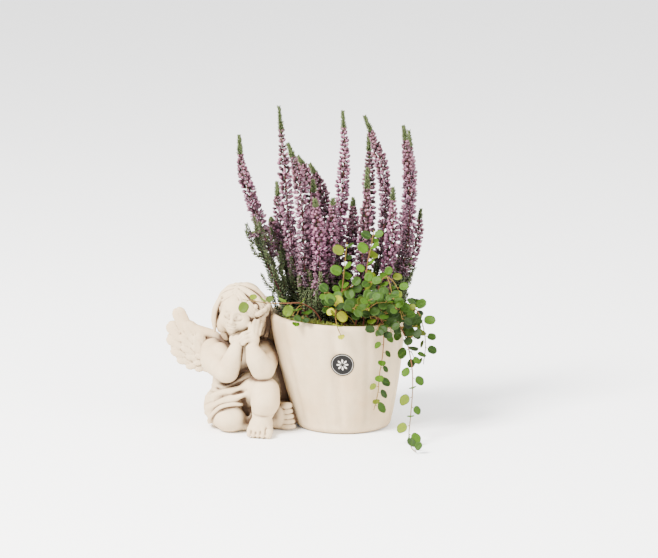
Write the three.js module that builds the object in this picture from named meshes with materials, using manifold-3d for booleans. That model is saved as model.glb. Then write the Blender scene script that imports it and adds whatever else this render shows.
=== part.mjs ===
// Potted heather: a cast stone planter, a pot with a seated winged child beside it, planted with
// upright stems of flowering heather and a trailing wire vine with small round leaves.
//
// Millimetres, +Z up, +X to the right and +Y to the back. The origin is the middle of the pot's
// flat underside. Left and right in names are the child's own: its right arm is at -X.

import * as THREE from "three";
import { mergeVertices } from "three/addons/utils/BufferGeometryUtils.js";
import Module from "manifold-3d";

const wasm = await Module();
wasm.setup();

// Driving dimensions of the pot
const POT_HEIGHT = 108;
const RIM_RADIUS = 65;
const FOOT_RADIUS = 46.5;
const FOOT_ROUNDING = 8;
const WALL = 7;
const FLOOR = 10;
const RIM_SHIFT = -6.8; // the rim's middle stands this far in X from the foot's
const RIM_WAVE = 3.2; // the rim rises this much at the child's side and sinks as much opposite
const WAVE_START = 0.6; // share of the pot's height
const FOOT_FULLNESS = 0.8; // of a quarter circle
const WALL_SWELL = 0.45;
const POT_SIDES = 32;
const CAVITY_SIDES = 24;

// Soil and the holes that the stems stand in
const GAP = 0.35;
const SOIL_EDGE = 96;
const SOIL_TOP = 98;
const SOIL_CROWN = 3;
const SOIL_LUMP = 2.2;
const HOLE_LENGTH = 20;
const HOLE_SIDES = 3;

// Round label
const LABEL_RADIUS = 11;
const LABEL_THICKNESS = 0.6;
const LABEL_ANGLE = -1.52; // radians from +X round the pot's axis
const LABEL_HEIGHT = 71;
const LABEL_SIDES = 16;

// Heather: every stem is a tube of six columns, whose rings raise every other column into a
// floret or a scale leaf, and the next ring raises the columns between.
const STEM_COLUMNS = 6;
const STEM_RADIUS = 1.2;
const FLORETS = { spacing: 5.8, core: 2.5, reach: 7.2, raise: 2.4 };
const TIP_LEAVES = { spacing: 4.6, core: 1.1, reach: 2.9, raise: 1.8 };
const STEM_LEAVES = { spacing: 6.2, core: 1.2, reach: 4, raise: 4 };
const LEAFLESS_LENGTH = 24; // from the stem's foot in the soil
const REACH_VARIATION = 0.4;

// Wire vine
const VINE_RADIUS = 0.8;
const VINE_SIDES = 3;
const LEAF_POINTS = 6; // round its outline, without its foot
const LEAF_SHORTEST = 9.5;
const LEAF_LONGEST = 14;
const LEAF_TURNS = [0, 0.55, -0.55]; // radians from the middle of a side of the stem
const LEAF_FOOT = 1.4;
const LEAF_STALK = 2;
const LEAF_RISE = 0.35; // radians above square to the stem
const LEAF_HALF_THICKNESS = 0.9;
const LEAF_CUP = 0.5;

// How far leaves keep from the middle of a heather stem, where it flowers and where it doesn't
const FLOWERING_REACH = 7.2;
const LEAFY_REACH = 6;

// Solids

const vector = (p) => new THREE.Vector3(...p);

// The solid that a closed geometry bounds.
function solidOf(geometry) {
  const bare = geometry.clone();
  bare.deleteAttribute("normal");
  bare.deleteAttribute("uv");
  const merged = mergeVertices(bare, 1e-4);
  const mesh = new wasm.Mesh({
    numProp: 3,
    vertProperties: new Float32Array(merged.attributes.position.array),
    triVerts: new Uint32Array(merged.index.array),
  });
  return new wasm.Manifold(mesh);
}

function geometryOf(solid) {
  const { vertProperties, triVerts } = solid.getMesh();
  const geometry = new THREE.BufferGeometry();
  geometry.setAttribute("position", new THREE.BufferAttribute(vertProperties, 3));
  geometry.setIndex(new THREE.BufferAttribute(triVerts, 1));
  geometry.computeVertexNormals();
  return geometry;
}

// The one solid of geometries that sink into each other.
const joined = (geometries) => geometries.map(solidOf).reduce((a, b) => a.add(b));

// The matrix that scales, turns and moves, in that order.
function placed(middle, turn = [0, 0, 0], scale = [1, 1, 1]) {
  const rotation = new THREE.Quaternion().setFromEuler(new THREE.Euler(...turn, "ZYX"));
  return new THREE.Matrix4().compose(vector(middle), rotation, vector(scale));
}

// Moves each vertex of a geometry to the point that move gives for it and its number.
function reshaped(geometry, move) {
  const position = geometry.attributes.position;
  const p = new THREE.Vector3();
  for (let i = 0; i < position.count; i++) {
    p.fromBufferAttribute(position, i);
    move(p, i);
    position.setXYZ(i, p.x, p.y, p.z);
  }
  return geometry;
}

// A lathe about Z through [radius, height] pairs, from the bottom of the axis to its top.
function lathe(profile, sides) {
  const points = profile.map(([r, z]) => new THREE.Vector2(r, z));
  return new THREE.LatheGeometry(points, sides).rotateX(Math.PI / 2);
}

// A smooth curve, and a frame of two directions square to it at each point. The frame is set
// by the axis along which the curve travels least, so it never turns over.
function path(points) {
  const curve = new THREE.CatmullRomCurve3(points.map(vector), false, "catmullrom", 0.5);
  const travel = [0, 1, 2].map((axis) =>
    points.slice(1).reduce((sum, p, i) => sum + Math.abs(p[axis] - points[i][axis]), 0),
  );
  const reference = new THREE.Vector3();
  reference.setComponent(travel.indexOf(Math.min(...travel)), 1);
  const at = (t) => {
    const tangent = curve.getTangent(t);
    const side = new THREE.Vector3().crossVectors(reference, tangent).normalize();
    const other = new THREE.Vector3().crossVectors(tangent, side);
    return { point: curve.getPoint(t), tangent, side, other };
  };
  return { at, length: curve.getLength() };
}

// A lathe through [share of length, radius] pairs, bent along a path.
function bent(profile, sides, route) {
  const straight = lathe(profile.map(([t, r]) => [r, t]), sides);
  return reshaped(straight, (p) => {
    const { point, side, other } = route.at(Math.min(1, Math.max(0, p.z)));
    p.copy(point.addScaledVector(side, p.x).addScaledVector(other, p.y));
  });
}

// An ellipsoid with its middle, half sizes and turns about X, Y and Z.
function blob(middle, half, turn = [0, 0, 0], across = 8, down = 5) {
  return new THREE.SphereGeometry(1, across, down).applyMatrix4(placed(middle, turn, half));
}

// A limb through points, with a radius at each point and rounded ends.
function limb(points, radii, sides = 6) {
  const route = path(points);
  const steps = radii.length - 1;
  const first = radii[0] / route.length;
  const last = radii[steps] / route.length;
  const inner = radii.slice(1, steps).map((r, i) => [(i + 1) / steps, r]);
  const start = [[0, 0], [0.3 * first, 0.75 * radii[0]]];
  const end = [[1 - 0.3 * last, 0.75 * radii[steps]], [1, 0]];
  return bent([...start, ...inner, ...end], sides, route);
}

// Points of a ring round a stem, turned from its side towards its other direction.
function ringAt(frame, columns, radiusOf, raiseOf) {
  return Array.from({ length: columns }, (_, column) => {
    const angle = (2 * Math.PI * column) / columns;
    const radius = radiusOf(column);
    return frame.point
      .clone()
      .addScaledVector(frame.side, radius * Math.cos(angle))
      .addScaledVector(frame.other, radius * Math.sin(angle))
      .addScaledVector(frame.tangent, raiseOf(column));
  });
}

// A closed tube through rings of points, from a first point to a last one. faceCell gives the
// faces of the cell between two rings and two columns, from the numbers of its four corners.
function ringTube(first, rings, last, faceCell, extraPoints = []) {
  const columns = rings[0].length;
  const corner = (ring, column) => 1 + ring * columns + (column % columns);
  const end = 1 + rings.length * columns;
  const faces = [];
  for (let c = 0; c < columns; c++) {
    faces.push(0, corner(0, c + 1), corner(0, c));
    faces.push(end, corner(rings.length - 1, c), corner(rings.length - 1, c + 1));
    for (let r = 0; r + 1 < rings.length; r++) {
      const corners = [corner(r, c), corner(r, c + 1), corner(r + 1, c + 1), corner(r + 1, c)];
      faces.push(...faceCell(r, c, corners));
    }
  }
  const geometry = new THREE.BufferGeometry();
  geometry.setFromPoints([first, ...rings.flat(), last, ...extraPoints]);
  geometry.setIndex(faces);
  return geometry;
}

// Repeatable random numbers from 0 to 1.
function randomFrom(seed) {
  let state = seed;
  return () => {
    state = (state + 0x6d2b79f5) | 0;
    let t = Math.imul(state ^ (state >>> 15), 1 | state);
    t = (t + Math.imul(t ^ (t >>> 7), 61 | t)) ^ t;
    return ((t ^ (t >>> 14)) >>> 0) / 4294967296;
  };
}

// Pot

const potAxisX = (z) => (RIM_SHIFT * z) / POT_HEIGHT;

// The pot's outer radius: a rounded foot, then a wall that swells as it rises.
function potRadius(z) {
  if (z < FOOT_ROUNDING) {
    const drop = 1 - z / FOOT_ROUNDING;
    return FOOT_RADIUS - FOOT_FULLNESS * FOOT_ROUNDING * (1 - Math.sqrt(1 - drop * drop));
  }
  const share = (z - FOOT_ROUNDING) / (POT_HEIGHT - FOOT_ROUNDING);
  const swollen = (1 + WALL_SWELL) * share - WALL_SWELL * share * share;
  return FOOT_RADIUS + (RIM_RADIUS - FOOT_RADIUS) * swollen;
}

// Leans a lathe over with the pot's axis, and waves what is near the rim.
function leant(geometry) {
  return reshaped(geometry, (p) => {
    const angle = Math.atan2(p.y, p.x);
    const high = Math.max(0, (p.z / POT_HEIGHT - WAVE_START) / (1 - WAVE_START));
    p.x += potAxisX(p.z);
    p.z -= RIM_WAVE * high * high * Math.cos(angle);
  });
}

function potOutside() {
  const heights = [0, 3, FOOT_ROUNDING, 38, 72, 104.5];
  const profile = heights.map((z) => [potRadius(z), z]);
  const top = [[RIM_RADIUS - 1, POT_HEIGHT - 1], [RIM_RADIUS - 3.2, POT_HEIGHT]];
  return leant(lathe([[0, 0], ...profile, ...top, [0, POT_HEIGHT]], POT_SIDES));
}

function potCavity() {
  const inside = (z) => [potRadius(z) - WALL, z];
  const top = POT_HEIGHT + 4;
  const profile = [[0, FLOOR], ...[FLOOR, 50, SOIL_EDGE, top].map(inside), [0, top]];
  return leant(lathe(profile, CAVITY_SIDES));
}

// Child: head

const HEAD = {
  middle: [-98, -20, 116],
  turn: [0.09, 0.17, -0.3], // nods, leans towards the pot and looks away from it
};

// The head in its own axes, where -Y is the way the face looks, then put in its place.
function head() {
  const pieces = [
    blob([0.5, 4.5, 3], [24, 21, 23], [-0.2, 0, 0], 11, 8),
    blob([0, -3, -2], [17.5, 17.5, 20], [0, 0, 0], 11, 7),
    blob([-8.2, -11.5, -8.5], [7.4, 6.6, 7.2], [0, 0, 0], 7, 4),
    blob([8.2, -11.5, -8.5], [7.4, 6.6, 7.2], [0, 0, 0], 7, 4),
    blob([0, -15.4, -15.5], [5.6, 4.6, 4.4], [0, 0, 0], 6, 4),
    blob([0, -19.8, -4.2], [2.6, 3.4, 3.6], [0, 0, 0], 5, 4),
  ];
  // Waves of hair: locks that start at the parting and sweep round each side of the face.
  for (const side of [-1, 1]) {
    for (let i = 0; i < 3; i++) {
      const back = 6.5 * i;
      const lock = [
        [side * 3, -10 + back, 22 - 0.8 * i],
        [side * 15, -13 + back, 15],
        [side * 20.5, -9 + back, 2],
        [side * 20, -4 + back, -14],
      ];
      pieces.push(limb(lock, [3.4, 5, 5.2, 3.2], 5));
    }
  }
  const place = placed(HEAD.middle, HEAD.turn);
  return pieces.map((piece) => piece.applyMatrix4(place));
}

// Child: body, arms and legs

// A row of fingers or toes with blunt tips: each has its root, its tip and its radius.
function digits(roots, tips, radii) {
  const profile = [[0, 0], [0.1, 1], [0.8, 1], [1, 0.6], [1, 0]];
  return roots.map((root, i) => {
    const middle = vector(root).lerp(vector(tips[i]), 0.5).toArray();
    return bent(profile.map(([t, r]) => [t, r * radii[i]]), 5, path([root, middle, tips[i]]));
  });
}

function body() {
  return [
    blob([-106, 4, 20], [26, 24, 22], [0, 0, 0], 10, 6),
    blob([-105, -2, 42], [22, 18.5, 20]),
    blob([-99, -2, 62], [23.5, 16.5, 18]),
    limb([[-98, -4, 76], [-98, -10, 86], [-98, -14, 98]], [10, 8.5, 9], 8),
  ];
}

function rightArm() {
  const arm = [[-124, -4, 73], [-123, -17, 65], [-111, -32, 58.5], [-104.4, -37.5, 72], [-99, -40, 86]];
  const roots = [[-97.6, -42.6, 93], [-96, -44, 90.6], [-94.6, -44.2, 88]];
  const tips = [[-90.4, -41.6, 98], [-88.6, -43.4, 95.2], [-87.6, -43.6, 92]];
  return [
    limb(arm, [12, 12, 11, 9.4, 6.6]),
    blob([-98.4, -40, 90], [6.4, 5.2, 6], [0, 0.5, 0], 8, 6),
    ...digits(roots, tips, [2.3, 2.4, 2.3]),
  ];
}

function leftArm() {
  const arm = [[-76, -4, 74], [-73, -18, 68.5], [-76, -40, 62.5], [-82, -44, 73], [-86, -43.6, 84]];
  const roots = [[-88.2, -41.6, 96], [-85.4, -42.4, 98], [-82.4, -41.6, 98.2], [-79.8, -40, 96.4]];
  const tips = [[-86.8, -36, 105], [-83.6, -34.8, 108], [-80.4, -34.2, 107.6], [-77.8, -33.8, 104.4]];
  return [
    limb(arm, [11.5, 11.5, 11.5, 10, 6.6]),
    blob([-85.4, -41.4, 92], [6.4, 5, 8], [0, -0.1, 0], 8, 6),
    ...digits(roots, tips, [2.2, 2.4, 2.3, 2.1]),
  ];
}

// The raised left leg, its knee forward and its foot flat on the ground.
function leftLeg() {
  const thigh = [[-93, 0, 24], [-84.5, -20, 35], [-76.5, -36, 41]];
  const shin = [[-74.6, -39, 41], [-74, -43.5, 31], [-76.6, -42, 14]];
  const across = [-88, -84, -79.8, -75.4, -70.4];
  const roots = across.map((x, i) => [x, -53 - 0.9 * i, 5.6]);
  const tips = across.map((x, i) => [x - 0.7, -57.6 - 1.1 * Math.min(i, 3), 3.6]);
  return [
    limb(thigh, [17, 15.6, 13.5]),
    limb(shin, [13.8, 13.4, 9.6]),
    blob([-77, -38, 10.5], [9.4, 11, 10.4]),
    blob([-78.6, -48, 7], [12, 12.5, 7.6], [-0.1, 0, 0], 9, 5),
    ...digits(roots, tips, [2.7, 2.7, 2.8, 3, 3.8]),
  ];
}

// The folded right leg, its knee to the front left and its foot coming out beside the pot.
function rightLeg() {
  const heights = [3.8, 8.6, 13.6, 18.8, 24.2];
  const roots = heights.map((z) => [-57, -26, z]);
  const tips = heights.map((z, i) => [-47.6 - 0.9 * i, -27.6, z + 0.6]);
  return [
    limb([[-115.5, 0, 17.5], [-113.5, -16, 16.5], [-108, -29, 14.5]], [18.3, 17.4, 15]),
    blob([-107, -31, 13.5], [16, 14.5, 13.2]),
    limb([[-106, -29, 11], [-90, -24, 10], [-70, -23, 10]], [11, 10.5, 9]),
    blob([-60, -24, 14], [11, 6.6, 13], [0, 0.15, 0], 8, 5),
    ...digits(roots, tips, [2.8, 2.7, 2.8, 2.9, 3.4]),
  ];
}

// The cloth round the hips: rolls that follow its folds, and its hem over the folded knee.
function drape() {
  const folds = [
    [[-126.5, 6, 33], [-118, -16, 35], [-104, -22, 38], [-88, -22, 44]],
    [[-128.5, 0, 21], [-121, -20, 25], [-106, -29, 33], [-88, -27, 41]],
    [[-127, -6, 7], [-123.5, -24, 13], [-113, -37, 25], [-95, -36, 30]],
  ];
  return folds.map((points) => limb(points, [6, 7.5, 7, 6], 6));
}

// A feather along +X: a lens with a blunt tip, its root narrower.
function feather(length, width, thickness) {
  return reshaped(new THREE.SphereGeometry(1, 8, 2), (p) => {
    const wide = p.x > 0 ? 1 : 0.8;
    const blunt = Math.abs(p.x * p.z) > 0.1 ? 1.16 : 1;
    p.x = 0.5 * length * (1 + blunt * p.x);
    p.z *= 0.5 * width * wide * blunt;
    p.y *= 0.5 * thickness;
  });
}

// A fan of feathers spread from a root, in a plane turned about Z by turn. It spreads to -X
// where side is 1, and to +X where it is -1.
function wing(root, turn, side) {
  const rows = [
    { lengths: [58, 60, 58, 52, 44, 34], from: 2.38, to: 4.12, width: 17, lift: 0 },
    { lengths: [39, 39, 35, 28], from: 2.48, to: 3.9, width: 16, lift: -2.8 },
    { lengths: [24, 22], from: 2.8, to: 3.5, width: 16, lift: -5.2 },
  ];
  const pieces = [blob([-3 * side, 0, 0], [20, 7, 17], [0, 0, 0], 8, 4)];
  for (const { lengths, from, to, width, lift } of rows) {
    lengths.forEach((length, i) => {
      const angle = from + ((to - from) * i) / (lengths.length - 1);
      const spread = side === 1 ? angle : Math.PI - angle;
      pieces.push(feather(length, width, 8).rotateY(-spread).translate(0, lift, 0));
    });
  }
  return pieces.map((piece) => piece.applyMatrix4(placed(root, [0, 0, turn])));
}

// What joins the child to the pot, set back between its leg and the pot's wall.
function bridge() {
  return [
    blob([-70, 9, 34], [24, 19, 42], [0, 0, 0], 10, 6),
    blob([-62, -12, 12], [22, 18, 14], [0, 0, 0], 8, 5),
  ];
}

function planter() {
  const child = [
    ...body(),
    ...rightArm(),
    ...leftArm(),
    ...rightLeg(),
    ...leftLeg(),
    ...drape(),
    ...bridge(),
    ...head(),
    ...wing([-119.5, 12, 70], -0.2, 1),
    ...wing([-84, 18, 68], 0.78, -1),
  ];
  // What would reach below the ground is cut off flat.
  const ground = new THREE.BoxGeometry(500, 500, 60).translate(0, 0, -30);
  return joined([potOutside(), ...child]).subtract(solidOf(potCavity())).subtract(solidOf(ground));
}

// Label: a thin disc bent round the pot's wall, a hair's breadth off it

function label() {
  const disc = new THREE.CylinderGeometry(LABEL_RADIUS, LABEL_RADIUS, LABEL_THICKNESS, LABEL_SIDES);
  const bentDisc = reshaped(disc, (p) => {
    const height = LABEL_HEIGHT - p.z;
    const radius = potRadius(height) + GAP + LABEL_THICKNESS / 2 + p.y;
    const angle = LABEL_ANGLE + p.x / potRadius(LABEL_HEIGHT);
    const x = potAxisX(height) + radius * Math.cos(angle);
    p.set(x, radius * Math.sin(angle), height);
  });
  return solidOf(bentDisc);
}

// Heather

// Each stem: its route from the soil, and the shares of its length where flowers start and end.
const HEATHER = [
  {
    route: [[-52, 0, 88], [-57, -2, 122], [-68, -4, 162], [-79, -7, 197], [-90, -10, 230],
      [-96, -12, 252], [-98, -14, 280]],
    flowers: [0.34, 0.9],
  },
  {
    route: [[-47, -14, 88], [-56, -15, 122], [-69, -19, 152], [-78, -23, 174], [-83, -26, 190]],
    flowers: [0.96, 0.97],
  },
  {
    route: [[-44, 8, 88], [-50, 11, 124], [-58, 14, 156], [-66, 17, 184], [-69, 19, 196]],
    flowers: [0.6, 0.9],
  },
  {
    route: [[-38, -3, 88], [-43, 1, 125], [-46, 3, 150], [-50, 4, 180], [-54, 4, 220],
      [-57, 2, 262], [-61, 0, 306]],
    flowers: [0.3, 0.91],
  },
  {
    route: [[-33, -16, 88], [-35, -15, 124], [-37, -14, 155], [-38, -15, 192], [-41, -17, 230],
      [-45, -19, 252], [-52, -21, 273]],
    flowers: [0.24, 0.9],
  },
  {
    route: [[-30, 14, 88], [-32, 16, 130], [-32, 19, 171], [-31, 23, 210], [-35, 27, 238],
      [-43, 30, 254]],
    flowers: [0.3, 0.89],
  },
  {
    route: [[-20, 34, 88], [-20, 36, 130], [-19, 40, 174], [-18, 44, 206], [-24, 48, 228],
      [-32, 50, 244]],
    flowers: [0.34, 0.88],
  },
  {
    route: [[-44, 24, 88], [-50, 26, 123], [-57, 30, 166], [-62, 35, 202], [-64, 39, 228]],
    flowers: [0.4, 0.87],
  },
  {
    route: [[-24, -1, 88], [-26, 0, 124], [-27, 1, 162], [-27, 0, 200], [-29, -2, 236]],
    flowers: [0.24, 0.92],
  },
  {
    route: [[-20, -22, 88], [-22, -23, 126], [-23, -25, 164], [-24, -28, 196], [-27, -31, 222]],
    flowers: [0.28, 0.92],
  },
  {
    route: [[-8, 2, 88], [-9, 3, 124], [-7, 4, 161], [-3, 6, 197], [-1, 8, 231], [1, 10, 264],
      [-1, 12, 300]],
    flowers: [0.22, 0.92],
  },
  {
    route: [[-12, -14, 88], [-15, -14, 124], [-15, -15, 164], [-12, -17, 193], [-10, -20, 221]],
    flowers: [0.26, 0.94],
  },
  {
    route: [[2, 16, 88], [2, 18, 124], [6, 22, 166], [9, 26, 190], [9, 29, 214]],
    flowers: [0.3, 0.92],
  },
  {
    route: [[22, 6, 88], [28, 9, 124], [36, 12, 170], [40, 16, 210], [37, 18, 243],
      [30, 20, 268], [20, 22, 294]],
    flowers: [0.26, 0.91],
  },
  {
    route: [[16, 30, 88], [19, 32, 124], [24, 37, 184], [25, 43, 232], [24, 49, 273]],
    flowers: [0.3, 0.9],
  },
  {
    route: [[10, -12, 88], [13, -11, 124], [18, -10, 170], [21, -12, 208], [22, -15, 249]],
    flowers: [0.26, 0.88],
  },
  {
    route: [[40, -8, 88], [50, -6, 124], [57, -5, 158], [62, -5, 198], [62, -6, 237],
      [59, -7, 263], [56, -8, 288]],
    flowers: [0.28, 0.91],
  },
  {
    route: [[38, 14, 88], [44, 16, 124], [54, 19, 167], [62, 23, 215], [64, 26, 248],
      [62, 29, 279]],
    flowers: [0.3, 0.9],
  },
  {
    route: [[28, -14, 88], [34, -14, 124], [42, -17, 160], [46, -20, 195], [46, -25, 232]],
    flowers: [0.26, 0.92],
  },
  {
    route: [[34, 19, 88], [40, 22, 108], [53, 28, 132], [65, 31, 156], [71, 33, 178],
      [74, 35, 202]],
    flowers: [0.4, 0.92],
  },
];

// How wide the flowers of a spike reach at a share of its length: narrower towards the tip.
const spikeTaper = (share) => 1 - 0.38 * share * share;

// Rings from one share of a stem's length to another, raised as kind says and scaled by taper.
function raisedRings(length, from, to, kind, taper) {
  const count = Math.max(1, Math.round(((to - from) * length) / kind.spacing));
  return Array.from({ length: count }, (_, i) => {
    const share = (i + 0.5) / count;
    const scale = taper(share);
    const core = kind.core * scale;
    return { t: from + share * (to - from), core, reach: kind.reach * scale, raise: kind.raise };
  });
}

function heatherStem({ route, flowers }, index) {
  const stem = path(route);
  const random = randomFrom(1 + index);
  const [from, to] = flowers;
  const leafless = LEAFLESS_LENGTH / stem.length;
  const bare = (t) => ({ t, core: STEM_RADIUS, reach: STEM_RADIUS, raise: 0 });
  const plan = [
    bare(0.002),
    bare(0.5 * leafless),
    bare(leafless),
    ...raisedRings(stem.length, leafless, from, STEM_LEAVES, () => 1),
    ...raisedRings(stem.length, from, to, FLORETS, spikeTaper),
    ...raisedRings(stem.length, to, 0.985, TIP_LEAVES, (share) => 1 - 0.5 * share),
  ];
  const isRaised = (ring, column) => (ring + column) % 2 === 0;
  const rings = plan.map(({ t, core, reach, raise }, ring) => {
    const vary = Array.from({ length: STEM_COLUMNS }, () => 1 + REACH_VARIATION * (random() - 0.5));
    const radius = (column) => core + (isRaised(ring, column) ? (reach - core) * vary[column] : 0);
    const lift = (column) => (isRaised(ring, column) ? raise * vary[column] : 0);
    return ringAt(stem.at(t), STEM_COLUMNS, radius, lift);
  });
  // The crease of a cell joins the two corners that aren't raised.
  const faceCell = (ring, column, [a, b, c, d]) =>
    isRaised(ring, column) ? [a, b, d, b, c, d] : [a, b, c, a, c, d];
  return ringTube(stem.at(0).point, rings, stem.at(1).point, faceCell);
}

// Wire vine

// Each trailing stem: its route from the soil, its number of leaves and where they start.
const VINES = [
  {
    route: [[30, -26, 88], [38, -34, 112], [47, -43, 112], [57, -50, 96], [63, -57, 72],
      [64, -66, 50], [62, -78, 28], [60, -90, 9], [62, -106, 2.6], [66, -122, 2.4]],
    leaves: 20, from: 0.16,
  },
  {
    route: [[20, -34, 88], [28, -46, 110], [35, -56, 112], [37, -60, 100], [36, -60, 80],
      [33, -58, 60], [32, -56, 44], [28, -54, 26]],
    leaves: 15, from: 0.22,
  },
  {
    route: [[36, -14, 88], [47, -18, 113], [60, -20, 121], [70, -24, 114], [75, -28, 100],
      [77, -32, 84], [75, -36, 66]],
    leaves: 15, from: 0.2,
  },
  {
    route: [[-16, -32, 88], [-24, -37, 113], [-38, -41, 125], [-54, -48, 127], [-68, -53, 128],
      [-82, -55, 130], [-94, -56, 132]],
    leaves: 7, from: 0.3,
  },
  {
    route: [[2, -34, 88], [0, -40, 112], [-6, -50, 122], [-8, -60, 118], [-6, -68, 108],
      [-2, -69, 99]],
    leaves: 8, from: 0.3,
  },
  {
    route: [[18, -26, 88], [20, -29, 130], [22, -30, 160], [26, -29, 180], [28, -28, 193]],
    leaves: 12, from: 0.22,
  },
  {
    route: [[0, -26, 88], [-2, -29, 124], [0, -31, 152], [3, -31, 182]],
    leaves: 11, from: 0.2,
  },
  {
    route: [[10, -36, 88], [12, -44, 112], [16, -52, 124], [22, -58, 122], [26, -60, 112]],
    leaves: 9, from: 0.24,
  },
  {
    route: [[28, -36, 88], [34, -42, 116], [42, -48, 130], [51, -48, 130], [60, -44, 120]],
    leaves: 11, from: 0.2,
  },
  {
    route: [[-30, -32, 88], [-34, -38, 112], [-40, -46, 122], [-44, -52, 116], [-45, -54, 108]],
    leaves: 7, from: 0.3,
  },
  {
    route: [[24, -30, 88], [29, -33, 120], [33, -35, 141], [39, -37, 150], [46, -38, 146],
      [51, -39, 138]],
    leaves: 12, from: 0.2,
  },
  {
    route: [[34, 25, 88], [40, 30, 106], [49, 37, 117], [58, 44, 112], [62, 48, 97], [61, 48, 78]],
    leaves: 8, from: 0.3,
  },
  {
    route: [[-10, 39, 88], [-10, 40, 99], [-11, 44, 110], [-13, 54, 119], [-16, 66, 117],
      [-18, 73, 103], [-17, 73, 86]],
    leaves: 8, from: 0.3,
  },
];

// Spheres that leaves keep clear of: flower spikes, the child and leaves placed before.
const CHILD_SPHERES = [
  [-98, -18, 118, 26], [-98, -14, 96, 22], [-118, -20, 66, 22], [-78, -28, 66, 24],
];

function spikeSpheres({ route, flowers }) {
  const stem = path(route);
  const spheres = [];
  for (let t = 0.1; t <= 1; t += 3.5 / stem.length) {
    const { point } = stem.at(t);
    const flowering = t > flowers[0] - 0.03;
    spheres.push([point.x, point.y, point.z, flowering ? FLOWERING_REACH : LEAFY_REACH]);
  }
  return spheres;
}

const leafSpheres = [];

function isClear(centre, radius, obstacles) {
  const fromAxis = Math.hypot(centre.x - potAxisX(centre.z), centre.y);
  const wall = potRadius(Math.min(centre.z, POT_HEIGHT));
  const outside = centre.z > POT_HEIGHT + 3 + 0.5 * radius || fromAxis > wall + 0.75 * radius + 1;
  const away = ([x, y, z, r]) => centre.distanceTo(new THREE.Vector3(x, y, z)) > radius + r;
  return centre.z > 0.6 * radius && outside && obstacles.every(away);
}

// A direction out from the stem, turned round it by angle and raised by rise.
function outward(frame, angle, rise) {
  return new THREE.Vector3()
    .addScaledVector(frame.side, Math.cos(angle) * Math.cos(rise))
    .addScaledVector(frame.other, Math.sin(angle) * Math.cos(rise))
    .addScaledVector(frame.tangent, Math.sin(rise))
    .normalize();
}

// A leaf's points: its round outline from the right of its stalk to the left, then the middles
// of its upper and lower faces. It is thickest near the stalk and slightly cupped.
function leafPoints(root, outwards, across, up, length) {
  const half = 0.5 * (length - LEAF_STALK);
  const centre = root.clone().addScaledVector(outwards, LEAF_STALK + half);
  const outline = Array.from({ length: LEAF_POINTS }, (_, i) => {
    const angle = Math.PI - (2 * Math.PI * (i + 1)) / (LEAF_POINTS + 1);
    return centre
      .clone()
      .addScaledVector(outwards, half * Math.cos(angle))
      .addScaledVector(across, 0.9 * half * Math.sin(angle))
      .addScaledVector(up, LEAF_CUP * Math.sin(angle) ** 2);
  });
  const face = (lift) =>
    centre.clone().addScaledVector(outwards, -0.25 * half).addScaledVector(up, lift);
  return [...outline, face(LEAF_HALF_THICKNESS), face(-LEAF_HALF_THICKNESS)];
}

// The faces of a leaf that grows out of a four-cornered cell. The corners run round the cell
// from the lower left, as the leaf sees them, and first is the number of its first point.
function leafFaces([lowerLeft, lowerRight, upperRight, upperLeft], first) {
  const outline = Array.from({ length: LEAF_POINTS }, (_, i) => first + i);
  const top = first + LEAF_POINTS;
  const bottom = top + 1;
  const above = [upperRight, ...outline, upperLeft];
  const below = [lowerRight, ...outline, lowerLeft];
  const faces = [upperRight, outline[0], lowerRight, upperLeft, lowerLeft, outline.at(-1)];
  above.forEach((corner, i) => faces.push(top, above[(i + 1) % above.length], corner));
  below.forEach((corner, i) => faces.push(bottom, corner, below[(i + 1) % below.length]));
  return faces;
}

const stemSpheres = HEATHER.flatMap(spikeSpheres);

function vineSpheres({ route }) {
  const stem = path(route);
  const spheres = [];
  for (let t = 0.12; t <= 1; t += 4 / stem.length) {
    const { x, y, z } = stem.at(t).point;
    spheres.push([x, y, z, 0.6]);
  }
  return spheres;
}

// Turns the list of a cell's corners until the way from its left side to its right side is
// as near as it can be to a direction.
function turnedTo(corners, points, direction) {
  const turns = [0, 1, 2, 3].map((turn) => corners.map((_, i) => corners[(i + turn) % 4]));
  const agreement = ([lowerLeft, lowerRight, upperRight, upperLeft]) => {
    const right = points[lowerRight].clone().add(points[upperRight]);
    return right.sub(points[lowerLeft]).sub(points[upperLeft]).dot(direction);
  };
  return turns.reduce((best, turn) => (agreement(turn) > agreement(best) ? turn : best));
}

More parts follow.
